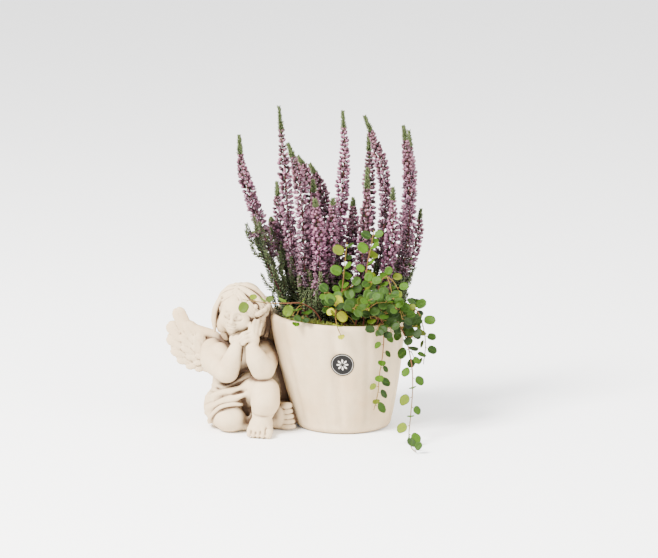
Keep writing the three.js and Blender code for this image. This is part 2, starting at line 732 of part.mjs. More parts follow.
// Where the leaves of a vine go: each on one of the stem's three sides, turned until clear. A
// leaf with no clear place is left out, and its place holds only t.
function leavesOf(plan, index) {
  const stem = path(plan.route);
  const random = randomFrom(100 + index);
  const others = VINES.filter((other) => other !== plan).flatMap(vineSpheres);
  const obstacles = [...stemSpheres, ...CHILD_SPHERES, ...leafSpheres, ...others];
  return Array.from({ length: plan.leaves }, (_, k) => {
    const t = plan.from + ((0.985 - plan.from) * (k + 0.5)) / plan.leaves;
    const frame = stem.at(t);
    const length = LEAF_SHORTEST + (LEAF_LONGEST - LEAF_SHORTEST) * random();
    const firstSide = k + Math.floor(2 * random());
    const facing = new THREE.Vector3(0.5 * random() - 0.25, -0.9, 0.75);
    for (let attempt = 0; attempt < LEAF_TURNS.length * VINE_SIDES; attempt++) {
      const column = (firstSide + attempt) % VINE_SIDES;
      const turn = LEAF_TURNS[Math.floor(attempt / VINE_SIDES)];
      const angle = (2 * Math.PI * (column + 0.5)) / VINE_SIDES + turn;
      const outwards = outward(frame, angle, LEAF_RISE);
      const centre = frame.point.clone().addScaledVector(outwards, 0.55 * length);
      const clearance = 0.47 * length;
      if (!isClear(centre, clearance, obstacles)) continue;
      const across = new THREE.Vector3().crossVectors(facing, outwards).normalize();
      const up = new THREE.Vector3().crossVectors(outwards, across);
      const sphere = [centre.x, centre.y, centre.z, clearance];
      obstacles.push(sphere);
      leafSpheres.push(sphere);
      return { t, column, across, points: leafPoints(frame.point, outwards, across, up, length) };
    }
    return { t };
  });
}

function vine(plan, index) {
  const stem = path(plan.route);
  const ring = (t) => {
    const radius = VINE_RADIUS * (1 - 0.25 * t);
    return ringAt(stem.at(t), VINE_SIDES, () => radius, () => 0);
  };
  const rings = [ring(0.002), ring(0.35 * plan.from), ring(0.7 * plan.from)];
  // A pair of rings close together holds the cell that a leaf grows from.
  const half = (0.5 * LEAF_FOOT) / stem.length;
  const leafOfCell = new Map();
  for (const leaf of leavesOf(plan, index)) {
    if (leaf.points) {
      leafOfCell.set(`${rings.length} ${leaf.column}`, leaf);
      rings.push(ring(leaf.t - half), ring(leaf.t + half));
    } else {
      rings.push(ring(leaf.t));
    }
  }
  const [first, last] = [stem.at(0).point, stem.at(1).point];
  const points = [first, ...rings.flat(), last];
  const extraPoints = [];
  const faceCell = (number, column, corners) => {
    const leaf = leafOfCell.get(`${number} ${column}`);
    if (!leaf) {
      const [a, b, c, d] = corners;
      return [a, b, c, a, c, d];
    }
    const firstLeafPoint = points.length + extraPoints.length;
    extraPoints.push(...leaf.points);
    return leafFaces(turnedTo(corners, points, leaf.across), firstLeafPoint);
  };
  return ringTube(first, rings, last, faceCell, extraPoints);
}

// Soil: fills the pot, with a lumpy top and a hole for each stem

// A three-sided hole along the foot of a stem, clear of it all round.
function stemHole(route, stemRadius) {
  const stem = path(route);
  const share = HOLE_LENGTH / stem.length;
  const at = (t) => {
    const frame = stem.at(t * share);
    frame.point.addScaledVector(frame.tangent, -GAP);
    return frame;
  };
  const radius = 2 * (stemRadius + GAP) + 0.6;
  return bent([[0, 0], [0, radius], [1, radius], [1, 0]], HOLE_SIDES, { at });
}

function soil() {
  const fill = (z) => potRadius(z) - WALL - GAP;
  const bottom = FLOOR + GAP;
  const side = [bottom, 50, SOIL_EDGE].map((z) => [fill(z), z]);
  const crown = (share) => SOIL_TOP + SOIL_CROWN * (1 - share);
  const top = [0.96, 0.55, 0].map((share) => [share * fill(SOIL_EDGE), crown(share)]);
  const lumpy = reshaped(lathe([[0, bottom], ...side, ...top], CAVITY_SIDES), (p) => {
    if (p.z < SOIL_TOP - 1) return;
    const wave = Math.sin(0.31 * p.x + 1.3) * Math.cos(0.27 * p.y - 0.4);
    p.z += SOIL_LUMP * (wave + 0.4 * Math.sin(0.9 * p.x) * Math.sin(0.8 * p.y));
  });
  const holes = [
    ...HEATHER.map(({ route }) => stemHole(route, STEM_RADIUS)),
    ...VINES.map(({ route }) => stemHole(route, VINE_RADIUS)),
  ];
  return solidOf(leant(lumpy)).subtract(joined(holes));
}

// Materials and the finished group

const material = (color, roughness) => new THREE.MeshStandardMaterial({ color, roughness, metalness: 0 });
const STONE = material(0xe9e0d2, 0.75);
const SOIL = material(0x3a2c20, 0.95);
const PAPER = material(0x2a2724, 0.5);
const HEATHER_PURPLE = material(0x8d5c7c, 0.8);
const VINE_GREEN = material(0x6f9a2c, 0.55);

const pottedHeather = new THREE.Group();

function place(name, solid, finish) {
  const mesh = new THREE.Mesh(geometryOf(solid), finish);
  mesh.name = name;
  pottedHeather.add(mesh);
}

const numbered = (name, index) => `${name}_${String(index + 1).padStart(2, "0")}`;

place("planter", planter(), STONE);
place("round_label", label(), PAPER);
place("soil", soil(), SOIL);
HEATHER.forEach((plan, i) => {
  place(numbered("heather", i), solidOf(heatherStem(plan, i)), HEATHER_PURPLE);
});
VINES.forEach((plan, i) => {
  place(numbered("vine", i), solidOf(vine(plan, i)), VINE_GREEN);
});

export default pottedHeather;
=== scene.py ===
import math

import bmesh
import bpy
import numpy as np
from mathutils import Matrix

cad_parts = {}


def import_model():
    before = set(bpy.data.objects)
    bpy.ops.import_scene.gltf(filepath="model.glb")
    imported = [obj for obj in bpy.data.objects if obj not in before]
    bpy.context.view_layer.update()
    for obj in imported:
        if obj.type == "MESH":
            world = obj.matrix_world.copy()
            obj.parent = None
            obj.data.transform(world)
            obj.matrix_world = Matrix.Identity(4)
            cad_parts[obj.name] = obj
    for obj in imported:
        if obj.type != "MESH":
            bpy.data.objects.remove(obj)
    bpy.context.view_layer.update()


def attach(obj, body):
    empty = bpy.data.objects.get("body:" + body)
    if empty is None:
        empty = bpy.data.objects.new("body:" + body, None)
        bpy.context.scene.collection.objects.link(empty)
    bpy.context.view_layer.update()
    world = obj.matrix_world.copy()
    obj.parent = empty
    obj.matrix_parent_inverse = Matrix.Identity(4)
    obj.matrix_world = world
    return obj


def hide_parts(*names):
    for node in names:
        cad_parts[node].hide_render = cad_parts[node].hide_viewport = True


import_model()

# Potted heather: a cast stone pot joined to a seated winged child, planted with flowering
# heather and a trailing wire vine. Lengths are in millimetres unless a name says otherwise, and
# each mesh is brought to metres when it is made. +Z is up, +X to the right, +Y to the back, and
# the origin is the middle of the pot's underside. Left and right in names are the child's own.

import openvdb as vdb
from mathutils import Euler, Vector

MM = 0.001

# Pot
POT_HEIGHT = 108
RIM_RADIUS = 65
FOOT_RADIUS = 46.5
FOOT_ROUNDING = 8
FOOT_FULLNESS = 0.8  # of a quarter circle
WALL_SWELL = 0.45
WALL = 7
FLOOR = 10
RIM_SHIFT = -6.8
RIM_WAVE = 3.2
WAVE_START = 0.6
POT_SIDES = 208
SOIL_EDGE = 96
SOIL_TOP = 98
SOIL_CROWN = 3
SOIL_LUMP = 2.2
GAP = 0.35

# Label
LABEL_RADIUS = 11
LABEL_THICKNESS = 0.6
LABEL_ANGLE = -1.52
LABEL_HEIGHT = 71

# Camera
CAMERA_TARGET = (-13.913, 0, 141.364)
CAMERA_DISTANCE = 2500
CAMERA_ELEVATION = 10.2
CAMERA_LENS = 143.977


# Numbers

def smooth(low, high, value):
    """0 below low, 1 above high and a smooth step between them."""
    share = np.clip((value - low) / (high - low), 0, 1)
    return share * share * (3 - 2 * share)


def unit(v):
    return v / np.linalg.norm(v, axis=-1, keepdims=True)


def blended(a, b, share):
    return a + (b - a) * share


def linear(*screen):
    """A colour given as it looks on a screen, in the linear light that shaders use."""
    return np.array([((c + 0.055) / 1.055) ** 2.4 if c > 0.04045 else c / 12.92 for c in screen])


def random_from(seed):
    """The repeatable numbers from 0 to 1 that place the vines' leaves."""
    state = seed

    def draw():
        nonlocal state
        state = (state + 0x6D2B79F5) & 0xFFFFFFFF
        t = state
        t = ((t ^ (t >> 15)) * (1 | t)) & 0xFFFFFFFF
        t = ((t + (((t ^ (t >> 7)) * (61 | t)) & 0xFFFFFFFF)) ^ t) & 0xFFFFFFFF
        return ((t ^ (t >> 14)) & 0xFFFFFFFF) / 4294967296

    return draw


class Route:
    """A smooth curve through points, with two directions square to it at each of its points."""

    def __init__(self, points):
        self.points = np.array(points, float)
        first = 2 * self.points[0] - self.points[1]
        last = 2 * self.points[-1] - self.points[-2]
        self.padded = np.vstack([first, self.points, last])
        travel = np.abs(np.diff(self.points, axis=0)).sum(0)
        self.reference = np.eye(3)[int(np.argmin(travel))]
        steps = self.point(np.linspace(0, 1, 201))
        self.length = float(np.linalg.norm(np.diff(steps, axis=0), axis=1).sum())

    def point(self, t):
        spans = len(self.points) - 1
        t = np.clip(np.asarray(t, float), 0, 1) * spans
        span = np.minimum(t.astype(int), spans - 1)
        s = (t - span)[..., None]
        a, b, c, d = (self.padded[span + i] for i in range(4))
        start, end = 0.5 * (c - a), 0.5 * (d - b)
        return b + start * s + (3 * (c - b) - 2 * start - end) * s**2 + (2 * (b - c) + start + end) * s**3

    def tangent(self, t):
        t = np.asarray(t, float)
        low, high = np.clip(t - 1e-4, 0, 1), np.clip(t + 1e-4, 0, 1)
        way = self.point(high) - self.point(low)
        return way / np.linalg.norm(way, axis=-1, keepdims=True)

    def frame(self, t):
        """Point, tangent, side and other direction at a place t from 0 to 1, or at each of many."""
        tangent = self.tangent(t)
        side = np.cross(self.reference, tangent)
        side /= np.linalg.norm(side, axis=-1, keepdims=True)
        return self.point(t), tangent, side, np.cross(tangent, side)


def turned(angles):
    """The rotation by angles about X, then Y, then Z."""
    return np.array(Euler(angles, "XYZ").to_matrix())


# Meshes

class Parts:
    """Gathers triangles, each vertex with a colour and each face with the number of its material."""

    def __init__(self):
        self.vertices, self.faces, self.tints, self.materials = [], [], [], []
        self.count = 0

    def add(self, vertices, faces, tints, material=0):
        vertices = np.asarray(vertices, float).reshape(-1, 3)
        faces = np.asarray(faces, int).reshape(-1, 3)
        self.vertices.append(vertices)
        self.faces.append(faces + self.count)
        self.tints.append(np.broadcast_to(np.asarray(tints, float), (len(vertices), 3)))
        self.materials.append(np.full(len(faces), material))
        self.count += len(vertices)

    def stamp(self, template, origins, frames, tints, material=0):
        """A copy of a template's vertices and faces at each origin, turned by frames, whose rows
        are the ways that the template's X, Y and Z go."""
        vertices, faces = template
        moved = origins[:, None, :] + np.einsum("vi,nij->nvj", vertices, frames)
        offsets = np.arange(len(origins))[:, None, None] * len(vertices)
        self.add(moved, faces[None] + offsets, np.broadcast_to(tints, moved.shape).reshape(-1, 3), material)

    def tube(self, route, t, radii, columns, tints, material=0):
        """A closed tube round a route, with a ring at each t and a point at both ends."""
        centres, _, sides, others = route.frame(t)
        turn = 2 * np.pi * np.arange(columns) / columns
        ring = np.cos(turn)[None, :, None] * sides[:, None] + np.sin(turn)[None, :, None] * others[:, None]
        rings = centres[:, None] + np.asarray(radii)[:, None, None] * ring
        vertices = np.vstack([rings.reshape(-1, 3), centres[:1], centres[-1:]])
        tints = np.asarray(tints, float)
        if tints.ndim == 2:
            tints = np.vstack([np.repeat(tints, columns, axis=0), tints[:1], tints[-1:]])
        self.add(vertices, tube_faces(len(centres), columns), tints, material)

    def piece(self, name, materials):
        return made_mesh(
            name,
            np.vstack(self.vertices),
            [np.vstack(self.faces)],
            materials,
            np.concatenate(self.materials),
            {"tint": np.vstack(self.tints)},
        )


def tube_faces(rows, columns):
    """Triangles of rings of columns, closed by a point before the first and after the last."""
    row, column = np.meshgrid(np.arange(rows - 1), np.arange(columns), indexing="ij")
    a = row * columns + column
    b = row * columns + (column + 1) % columns
    c, d = b + columns, a + columns
    sides = np.stack([a, b, c, a, c, d], -1).reshape(-1, 3)
    around = np.arange(columns)
    after = (around + 1) % columns
    last = (rows - 1) * columns
    first_cap = np.stack([after, around, np.full(columns, rows * columns)], -1)
    last_cap = np.stack([last + around, last + after, np.full(columns, rows * columns + 1)], -1)
    return np.vstack([sides, first_cap, last_cap])


def made_mesh(name, vertices, face_groups, materials, material_of=None, attributes=None):
    """A smooth mesh object from vertices in millimetres and arrays of faces of one size each."""
    mesh = bpy.data.meshes.new(name)
    corners = np.concatenate([group.reshape(-1) for group in face_groups])
    sizes = np.concatenate([np.full(len(group), group.shape[1]) for group in face_groups])
    starts = np.concatenate([[0], np.cumsum(sizes)[:-1]])
    mesh.vertices.add(len(vertices))
    mesh.vertices.foreach_set("co", (np.asarray(vertices, np.float32) * MM).reshape(-1))
    mesh.loops.add(len(corners))
    mesh.loops.foreach_set("vertex_index", corners.astype(np.int32))
    mesh.polygons.add(len(sizes))
    mesh.polygons.foreach_set("loop_start", starts.astype(np.int32))
    mesh.polygons.foreach_set("use_smooth", np.ones(len(sizes), bool))
    for material in materials:
        mesh.materials.append(material)
    if material_of is not None:
        mesh.polygons.foreach_set("material_index", material_of.astype(np.int32))
    for key, values in (attributes or {}).items():
        if values.ndim == 2:
            attribute = mesh.attributes.new(key, "FLOAT_COLOR", "POINT")
            colours = np.hstack([values, np.ones((len(values), 1))])
            attribute.data.foreach_set("color", colours.astype(np.float32).reshape(-1))
        else:
            attribute = mesh.attributes.new(key, "FLOAT", "POINT")
            attribute.data.foreach_set("value", values.astype(np.float32))
    mesh.update(calc_edges=True)
    mesh.validate()
    piece = bpy.data.objects.new(name, mesh)
    bpy.context.scene.collection.objects.link(piece)
    return piece


def fitted(piece, slot, *nodes):
    """Rides on the part's one body, in the place of the nodes that it stands for."""
    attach(piece, "root")
    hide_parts(*nodes)


# Materials

class Paint:
    """A material whose shader inputs are fed by a short chain of nodes."""

    def __init__(self, name, roughness, specular=0.4):
        self.material = bpy.data.materials.new(name)
        self.material.use_nodes = True
        self.tree = self.material.node_tree
        self.shader = self.tree.nodes["Principled BSDF"]
        self.shader.inputs["Roughness"].default_value = roughness
        self.shader.inputs["Specular IOR Level"].default_value = specular
        self.place = self.tree.nodes.new("ShaderNodeTexCoord").outputs["Object"]

    def node(self, kind, settings=None, **inputs):
        node = self.tree.nodes.new("ShaderNode" + kind)
        for key, value in (settings or {}).items():
            setattr(node, key, value)
        for key, value in inputs.items():
            self.feed(node.inputs[key], value)
        return node

    def feed(self, socket, value):
        if isinstance(value, bpy.types.NodeSocket):
            self.tree.links.new(value, socket)
        elif socket.type == "RGBA":
            socket.default_value = (*value, 1)
        else:
            socket.default_value = value

    def scaled_place(self, x, y, z):
        return self.node("Mapping", Vector=self.place, Scale=(x, y, z)).outputs["Vector"]

    def noise(self, scale, detail=3, vector=None, roughness=0.55):
        return self.node(
            "TexNoise", Vector=vector or self.place, Scale=scale, Detail=detail, Roughness=roughness
        ).outputs["Fac"]

    def spread(self, value, low, high, to_low=0.0, to_high=1.0):
        """Stretches a value from one range to another, and holds it there."""
        node = self.node("MapRange", Value=value)
        for key, number in (("From Min", low), ("From Max", high), ("To Min", to_low), ("To Max", to_high)):
            node.inputs[key].default_value = number
        return node.outputs["Result"]

    def maths(self, operation, a, b):
        node = self.node("Math", {"operation": operation})
        self.feed(node.inputs[0], a)
        self.feed(node.inputs[1], b)
        return node.outputs[0]

    def mix(self, share, a, b, blend="MIX"):
        node = self.node("Mix", {"data_type": "RGBA", "blend_type": blend})
        self.feed(node.inputs["Factor"], share)
        self.feed(node.inputs[6], a)
        self.feed(node.inputs[7], b)
        return node.outputs[2]

    def attribute(self, name, output="Color"):
        return self.node("Attribute", {"attribute_name": name}).outputs[output]

    def colour(self, socket):
        self.feed(self.shader.inputs["Base Color"], socket)

    def roughness(self, socket):
        self.feed(self.shader.inputs["Roughness"], socket)

    def bump(self, height, strength, distance):
        """Raises the surface by height, where 1 stands for distance in millimetres."""
        bump = self.node("Bump", Height=height, Strength=strength, Distance=distance * MM)
        self.feed(self.shader.inputs["Normal"], bump.outputs["Normal"])


STONE_PALE = linear(0.785, 0.70, 0.565)
STONE_WARM = linear(0.75, 0.645, 0.50)
STONE_GREY = linear(0.695, 0.625, 0.505)
# The brown of the stone's antique wash, which also paints shade into its hollows; its specks use it too
STONE_WASH_AND_SHADE = linear(0.33, 0.25, 0.185)


def cast_stone():
    """Matt cream stone with soft pink and grey clouds, brown in its hollows that is partly antique wash and
    partly painted shade, and fine grain.
    """
    paint = Paint("cast_stone", 0.8, 0.25)
    clouds = paint.spread(paint.noise(28, 4), 0.4, 0.66)
    streaks = paint.spread(paint.noise(1, 4, paint.scaled_place(150, 150, 14)), 0.38, 0.7)
    base = paint.mix(clouds, STONE_PALE, STONE_WARM)
    base = paint.mix(paint.maths("MULTIPLY", streaks, 0.5), base, STONE_GREY)
    uneven = paint.spread(paint.noise(220, 3), 0.3, 0.7, 0.75, 1.2)
    # Brown laid into the hollows: partly the stone's antique wash, partly painted shade
    wash_and_shade = paint.maths("MULTIPLY", paint.attribute("wash_and_shade", "Fac"), uneven)
    held = paint.node("Clamp", Value=wash_and_shade).outputs["Result"]
    base = paint.mix(held, base, STONE_WASH_AND_SHADE)
    specks = paint.spread(paint.noise(1400, 2), 0.66, 0.74, 0.0, 0.35)
    paint.colour(paint.mix(specks, base, STONE_WASH_AND_SHADE))
    paint.roughness(paint.spread(paint.noise(300, 2), 0.3, 0.7, 0.72, 0.9))
    grain = paint.maths("ADD", paint.noise(900, 4), paint.maths("MULTIPLY", paint.noise(190, 3), 1.2))
    paint.bump(grain, 0.35, 0.35)
    return paint.material


def tinted(name, roughness, specular, grain, darkest, bump=None):
    """A finish that takes its colour from each vertex's tint, darkened in patches by noise whose
    scale is grain. bump holds a strength and a depth in millimetres."""
    paint = Paint(name, roughness, specular)
    shade = paint.spread(paint.noise(grain, 3), 0.32, 0.68, darkest, 1.0)
    tint = paint.attribute("tint")
    dark = paint.mix(1.0, tint, (darkest, darkest, darkest), "MULTIPLY")
    paint.colour(paint.mix(shade, dark, tint))
    if bump:
        paint.bump(paint.noise(grain * 2, 3), *bump)
    return paint.material


CAST_STONE = cast_stone()
PETAL = tinted("heather_petal", 0.6, 0.3, grain=900, darkest=0.72)
SCALE_LEAF = tinted("heather_leaf", 0.62, 0.35, grain=700, darkest=0.65)
BARK = tinted("bark", 0.85, 0.2, grain=800, darkest=0.55, bump=(0.6, 0.2))
VINE_LEAF = tinted("vine_leaf", 0.6, 0.18, grain=260, darkest=0.7, bump=(0.3, 0.12))
PEAT = tinted("peat", 0.95, 0.15, grain=500, darkest=0.45, bump=(0.9, 0.8))
PRINTED_PAPER = tinted("label_paper", 0.6, 0.15, grain=300, darkest=0.85)


# Pot

def pot_axis_x(z):
    return RIM_SHIFT * z / POT_HEIGHT


def pot_radius(z):
    """The pot's outer radius: a rounded foot, then a wall that swells as it rises."""
    z = np.asarray(z, float)
    drop = np.clip(1 - z / FOOT_ROUNDING, 0, 1)
    share = np.clip(z - FOOT_ROUNDING, 0, None) / (POT_HEIGHT - FOOT_ROUNDING)
    foot = FOOT_RADIUS - FOOT_FULLNESS * FOOT_ROUNDING * (1 - np.sqrt(1 - drop * drop))
    rise = (1 + WALL_SWELL) * share - WALL_SWELL * share * share
    wall = FOOT_RADIUS + (RIM_RADIUS - FOOT_RADIUS) * rise
    return np.where(z < FOOT_ROUNDING, foot, wall)


def rim_wave(angle, z):
    """The rim rises at the child's side and sinks as much opposite."""
    high = np.clip((z / POT_HEIGHT - WAVE_START) / (1 - WAVE_START), 0, None)
    return -RIM_WAVE * high * high * np.cos(angle)


# The wall's soft upright flutes: how many go round, where they start and how deep they are
FLUTES = ((9, 0.9, 0.55), (14, 2.1, 0.4), (23, 4.4, 0.28), (37, 1.3, 0.14))
FLUTE_INSET = 0.25  # how far in their middle stands
FLUTE_SETS_IN = (2, 14)
FLUTE_FADE = 9  # from this far below the rim they grow shallow
# The rim's section: how far in from its radius and down from its height each point lies
LIP = ((0.3, 3.4), (0.9, 1.6), (2, 0.4), (3.4, 0), (4.8, 0.3), (6, 1.3), (6.8, 3))
LIP_DEPTH = 5
WALL_START = 10
# The wall darkens over this many millimetres above the ground
DARKER_FOOT = 5


def fluting(angle, z):
    """How far the wall's soft, uneven upright flutes stand in or out, in millimetres."""
    drift = 0.5 * np.sin(z / 41) + 0.2 * np.sin(z / 17 + 2)
    waves = sum(depth * np.sin(count * angle + phase + drift) for count, phase, depth in FLUTES)
    kept = smooth(*FLUTE_SETS_IN, z) * (1 - 0.6 * smooth(POT_HEIGHT - FLUTE_FADE, POT_HEIGHT, z))
    return waves * kept - FLUTE_INSET


def pot():
    """The pot as one closed turned wall, from the middle of its underside to its inner floor."""
    bottom = [(r, 0) for r in np.linspace(0.5, float(pot_radius(0)) - 0.6, 12)]
    wall_top = POT_HEIGHT - LIP_DEPTH
    heights = [*np.linspace(0, FOOT_ROUNDING, 7), *np.linspace(WALL_START, wall_top, 60)]
    outside = [(pot_radius(z), z) for z in heights]
    lip = [(RIM_RADIUS - inwards, POT_HEIGHT - down) for inwards, down in LIP]
    inside = [(pot_radius(z) - WALL, z) for z in np.linspace(wall_top, FLOOR, 26)]
    floor = [(r, FLOOR) for r in np.linspace(float(pot_radius(FLOOR)) - WALL - 2, 0.5, 8)]
    profile = np.array([*bottom, *outside, *lip, *inside, *floor], float)
    rows = len(profile)
    angle = 2 * np.pi * np.arange(POT_SIDES) / POT_SIDES
    r, z = profile[:, :1], profile[:, 1:]
    on_wall = np.zeros((rows, 1))
    on_wall[len(bottom):len(bottom) + len(outside) + 3] = 1
    r = r + on_wall * fluting(angle[None, :], z)
    x = r * np.cos(angle) + pot_axis_x(z)
    y = r * np.sin(angle)
    height = z + rim_wave(angle[None, :], z)
    rings = np.stack([x, y, np.broadcast_to(height, x.shape)], -1).reshape(-1, 3)
    middle = np.array([[0, 0, 0], [pot_axis_x(FLOOR), 0, FLOOR]])
    # Brown on the pot: a little in the flutes' hollows, more towards the foot, and some off the outer wall
    hollow = -fluting(angle[None, :], z) * on_wall
    wash_and_shade = 0.05 + 0.1 * smooth(0.4, 1.3, hollow)
    wash_and_shade = wash_and_shade + 0.25 * (1 - smooth(0, DARKER_FOOT, z)) * on_wall + 0.2 * (1 - on_wall)
    return made_mesh(
        "stone_pot",
        np.vstack([rings, middle]),
        [tube_faces(rows, POT_SIDES)],
        [CAST_STONE],
        attributes={"wash_and_shade": np.concatenate([wash_and_shade.reshape(-1), [0.3, 0.3]])},
    )


fitted(pot(), "cast_stone", "planter")


# Figure: forms joined in a field of distances, which is then given a surface

FIELD_STEP = 0.55
FIELD_LOW = (-176, -72, -3.3)
FIELD_HIGH = (-36, 66, 146)
FAR = 3.0
FIGURE_FACES = 175000


def least(a, b, blend):
    """The smaller of two distances, with the valley between them filled over blend millimetres."""
    if blend <= 0:
        return np.minimum(a, b)
    share = np.maximum(blend - np.abs(a - b), 0) / blend
    return np.minimum(a, b) - share * share * (0.25 * blend)


def sampled(values, at):
    """The values of a grid at places counted in its points, from the eight points round each."""
    at = np.clip(at, 0, np.array(values.shape) - 1.001)
    first = np.floor(at).astype(int)
    share = at - first
    total = 0
    for corner in np.ndindex(2, 2, 2):
        weight = np.prod(np.where(corner, share, 1 - share), axis=1)
        total = total + weight * values[tuple((first + corner).T)]
    return total


class Field:
    """Distances to a surface on a grid of points: negative inside."""

    def __init__(self, low, high, step):
        self.low = np.array(low, float)
        self.step = step
        self.shape = np.ceil((np.array(high) - self.low) / step).astype(int) + 1
        self.values = np.full(self.shape, 99, np.float32)

    def window(self, box, margin):
        """The part of the grid round a box, and the coordinates of its points."""
        low, high = box
        first = np.clip(np.floor((low - margin - self.low) / self.step).astype(int), 0, self.shape)
        last = np.clip(np.ceil((high + margin - self.low) / self.step).astype(int) + 1, 0, self.shape)
        axes = [(self.low[i] + self.step * np.arange(first[i], last[i])).astype(np.float32) for i in range(3)]
        region = tuple(slice(a, b) for a, b in zip(first, last))
        return region, axes[0][:, None, None], axes[1][None, :, None], axes[2][None, None, :]

    def join(self, form, blend=1.0):
        region, *place = self.window(form.box, blend + FAR)
        self.values[region] = least(self.values[region], form.distance(*place), blend)

    def cut(self, form, blend=1.0):
        region, *place = self.window(form.box, blend + FAR)
        self.values[region] = -least(-self.values[region], form.distance(*place), blend)

    def engrave(self, form, depth, width):
        """Presses a rounded groove in along a thin form."""
        region, *place = self.window(form.box, 2.5 * width)
        self.values[region] += depth * np.exp(-((form.distance(*place) / width) ** 2))

    def sample(self, points):
        return sampled(self.values, (points - self.low) / self.step)

    def settle(self, points, lift=0.0):
        """Points moved straight up or down onto the surface, and lift millimetres further."""
        points = np.array(points, float)
        reach = 1.2
        for _ in range(12):
            slope = [
                (self.sample(points + reach * axis) - self.sample(points - reach * axis)) / (2 * reach)
                for axis in np.eye(3)
            ]
            slope = np.stack(slope, axis=1)
            off = np.clip(self.sample(points) - lift, -1.5, 1.5)
            points = points - off[:, None] * slope / np.maximum((slope * slope).sum(1), 0.2)[:, None]
        return points

    def surface(self):
        """Points in millimetres and four-cornered faces of the surface."""
        grid = vdb.FloatGrid(FAR)
        grid.copyFromArray(np.clip(self.values, -FAR, FAR).astype(np.float32))
        grid.gridClass = vdb.GridClass.LEVEL_SET
        points, _, quads = grid.convertToPolygons(isovalue=0.0, adaptivity=0.0)
        return points * self.step + self.low, quads[:, ::-1]


class Ball:
    """An ellipsoid with its middle, half sizes and turns about X, Y and Z."""

    def __init__(self, middle, half, turn=(0, 0, 0), place=None):
        rotation = turned(turn)
        self.middle = np.array(middle, float)
        if place is not None:
            self.middle = place.point(self.middle)
            rotation = place.rotation @ rotation
        self.rotation = rotation
        self.half = np.array(half, float)
        reach = np.sqrt(((rotation * self.half) ** 2).sum(1))
        self.box = (self.middle - reach, self.middle + reach)

    def distance(self, x, y, z):
        dx, dy, dz = x - self.middle[0], y - self.middle[1], z - self.middle[2]
        near, steep = 0, 0
        for axis in range(3):
            along = self.rotation[0, axis] * dx + self.rotation[1, axis] * dy + self.rotation[2, axis] * dz
            share = along / self.half[axis]
            near = near + share * share
            steep = steep + (share / self.half[axis]) ** 2
        near = np.sqrt(near)
        return near * (near - 1) / np.sqrt(np.maximum(steep, 1e-9))


class Limb:
    """A round form along a smooth curve through points, with a radius at each point. Where flat
    is given, it is that many times thinner along the direction normal."""

    def __init__(self, points, radii=(0, 0), place=None, steps=4, normal=None, flat=1.0):
        points = np.array(points, float)
        if place is not None:
            points = place.point(points)
        share = np.linspace(0, 1, steps * (len(points) - 1) + 1)
        self.points = Route(points).point(share) if len(points) > 2 else points
        self.radii = np.interp(np.linspace(0, 1, len(self.points)), np.linspace(0, 1, len(radii)), radii)
        self.normal = None if normal is None else unit(np.array(normal, float))
        self.flat = flat
        reach = self.radii[:, None]
        self.box = ((self.points - reach).min(0), (self.points + reach).max(0))

    def pressed(self, x, y, z):
        """Coordinates stretched along the normal, which makes the form thinner."""
        if self.normal is None:
            return x, y, z
        n = self.normal
        off = (self.flat - 1) * (x * n[0] + y * n[1] + z * n[2] - self.points[0] @ n)
        return x + off * n[0], y + off * n[1], z + off * n[2]

    def distance(self, x, y, z):
        x, y, z = self.pressed(x, y, z)
        nearest = None
        for a, b, ra, rb in zip(self.points[:-1], self.points[1:], self.radii[:-1], self.radii[1:]):
            way = b - a
            along = ((x - a[0]) * way[0] + (y - a[1]) * way[1] + (z - a[2]) * way[2]) / (way @ way)
            along = np.clip(along, 0, 1)
            dx, dy, dz = x - a[0] - along * way[0], y - a[1] - along * way[1], z - a[2] - along * way[2]
            d = np.sqrt(dx * dx + dy * dy + dz * dz) - (ra + (rb - ra) * along)
            nearest = d if nearest is None else np.minimum(nearest, d)
        return nearest / (0.5 + 0.5 * self.flat)


class Placed:
    """Axes that are turned and then moved."""

    def __init__(self, middle, turn):
        self.middle = np.array(middle, float)
        self.rotation = turned(turn)

    def point(self, p):
        return np.asarray(p, float) @ self.rotation.T + self.middle


# Figure: head

HEAD = Placed((-98, -20, 116), (0.09, 0.17, -0.3))
CAP_MIDDLE = np.array([0.5, 4.5, 3])
CAP_HALF = np.array([20.4, 18, 18.6])
EYE_X, EYE_Z = 6.4, -2.2
LOCKS = 8
CURLS = 12
FACE_AZIMUTH = 52  # the face is free of ringlets this far to each side
TEMPLE_AZIMUTHS = (60, 76, 92, 108)
NAPE_AZIMUTHS = (62, 80, 98, 116, 134, 152, 170, 188, 206, 224, 242, 260, 278)
NAPE_LOW = -27  # how far below the head's middle the ringlets end


# Lines of a closed eye, from its inner corner outwards and from its middle, and their depths
EYE_LINES = (
    ([(-3.6, -22, -0.6), (-1.6, -22, -1.7), (1.2, -22, -1.7), (3.9, -21, -0.4)], 0.75),
    ([(-3.8, -22, 1.2), (-1.4, -22, 3), (1.6, -22, 3), (4.4, -21, 1)], 0.45),
)


def eye(field, side):
    """A closed, gently bulging lid in its hollow: a line along its lashes and one above it."""
    field.join(Ball((side * EYE_X, -14.2, EYE_Z), (4, 4.3, 3.4), place=HEAD), 1.2)
    for line, depth in EYE_LINES:
        line = np.array([side * EYE_X, 0, EYE_Z]) + np.array([side, 1, 1]) * line
        field.engrave(Limb(field.settle(HEAD.point(line))), depth, 0.75)


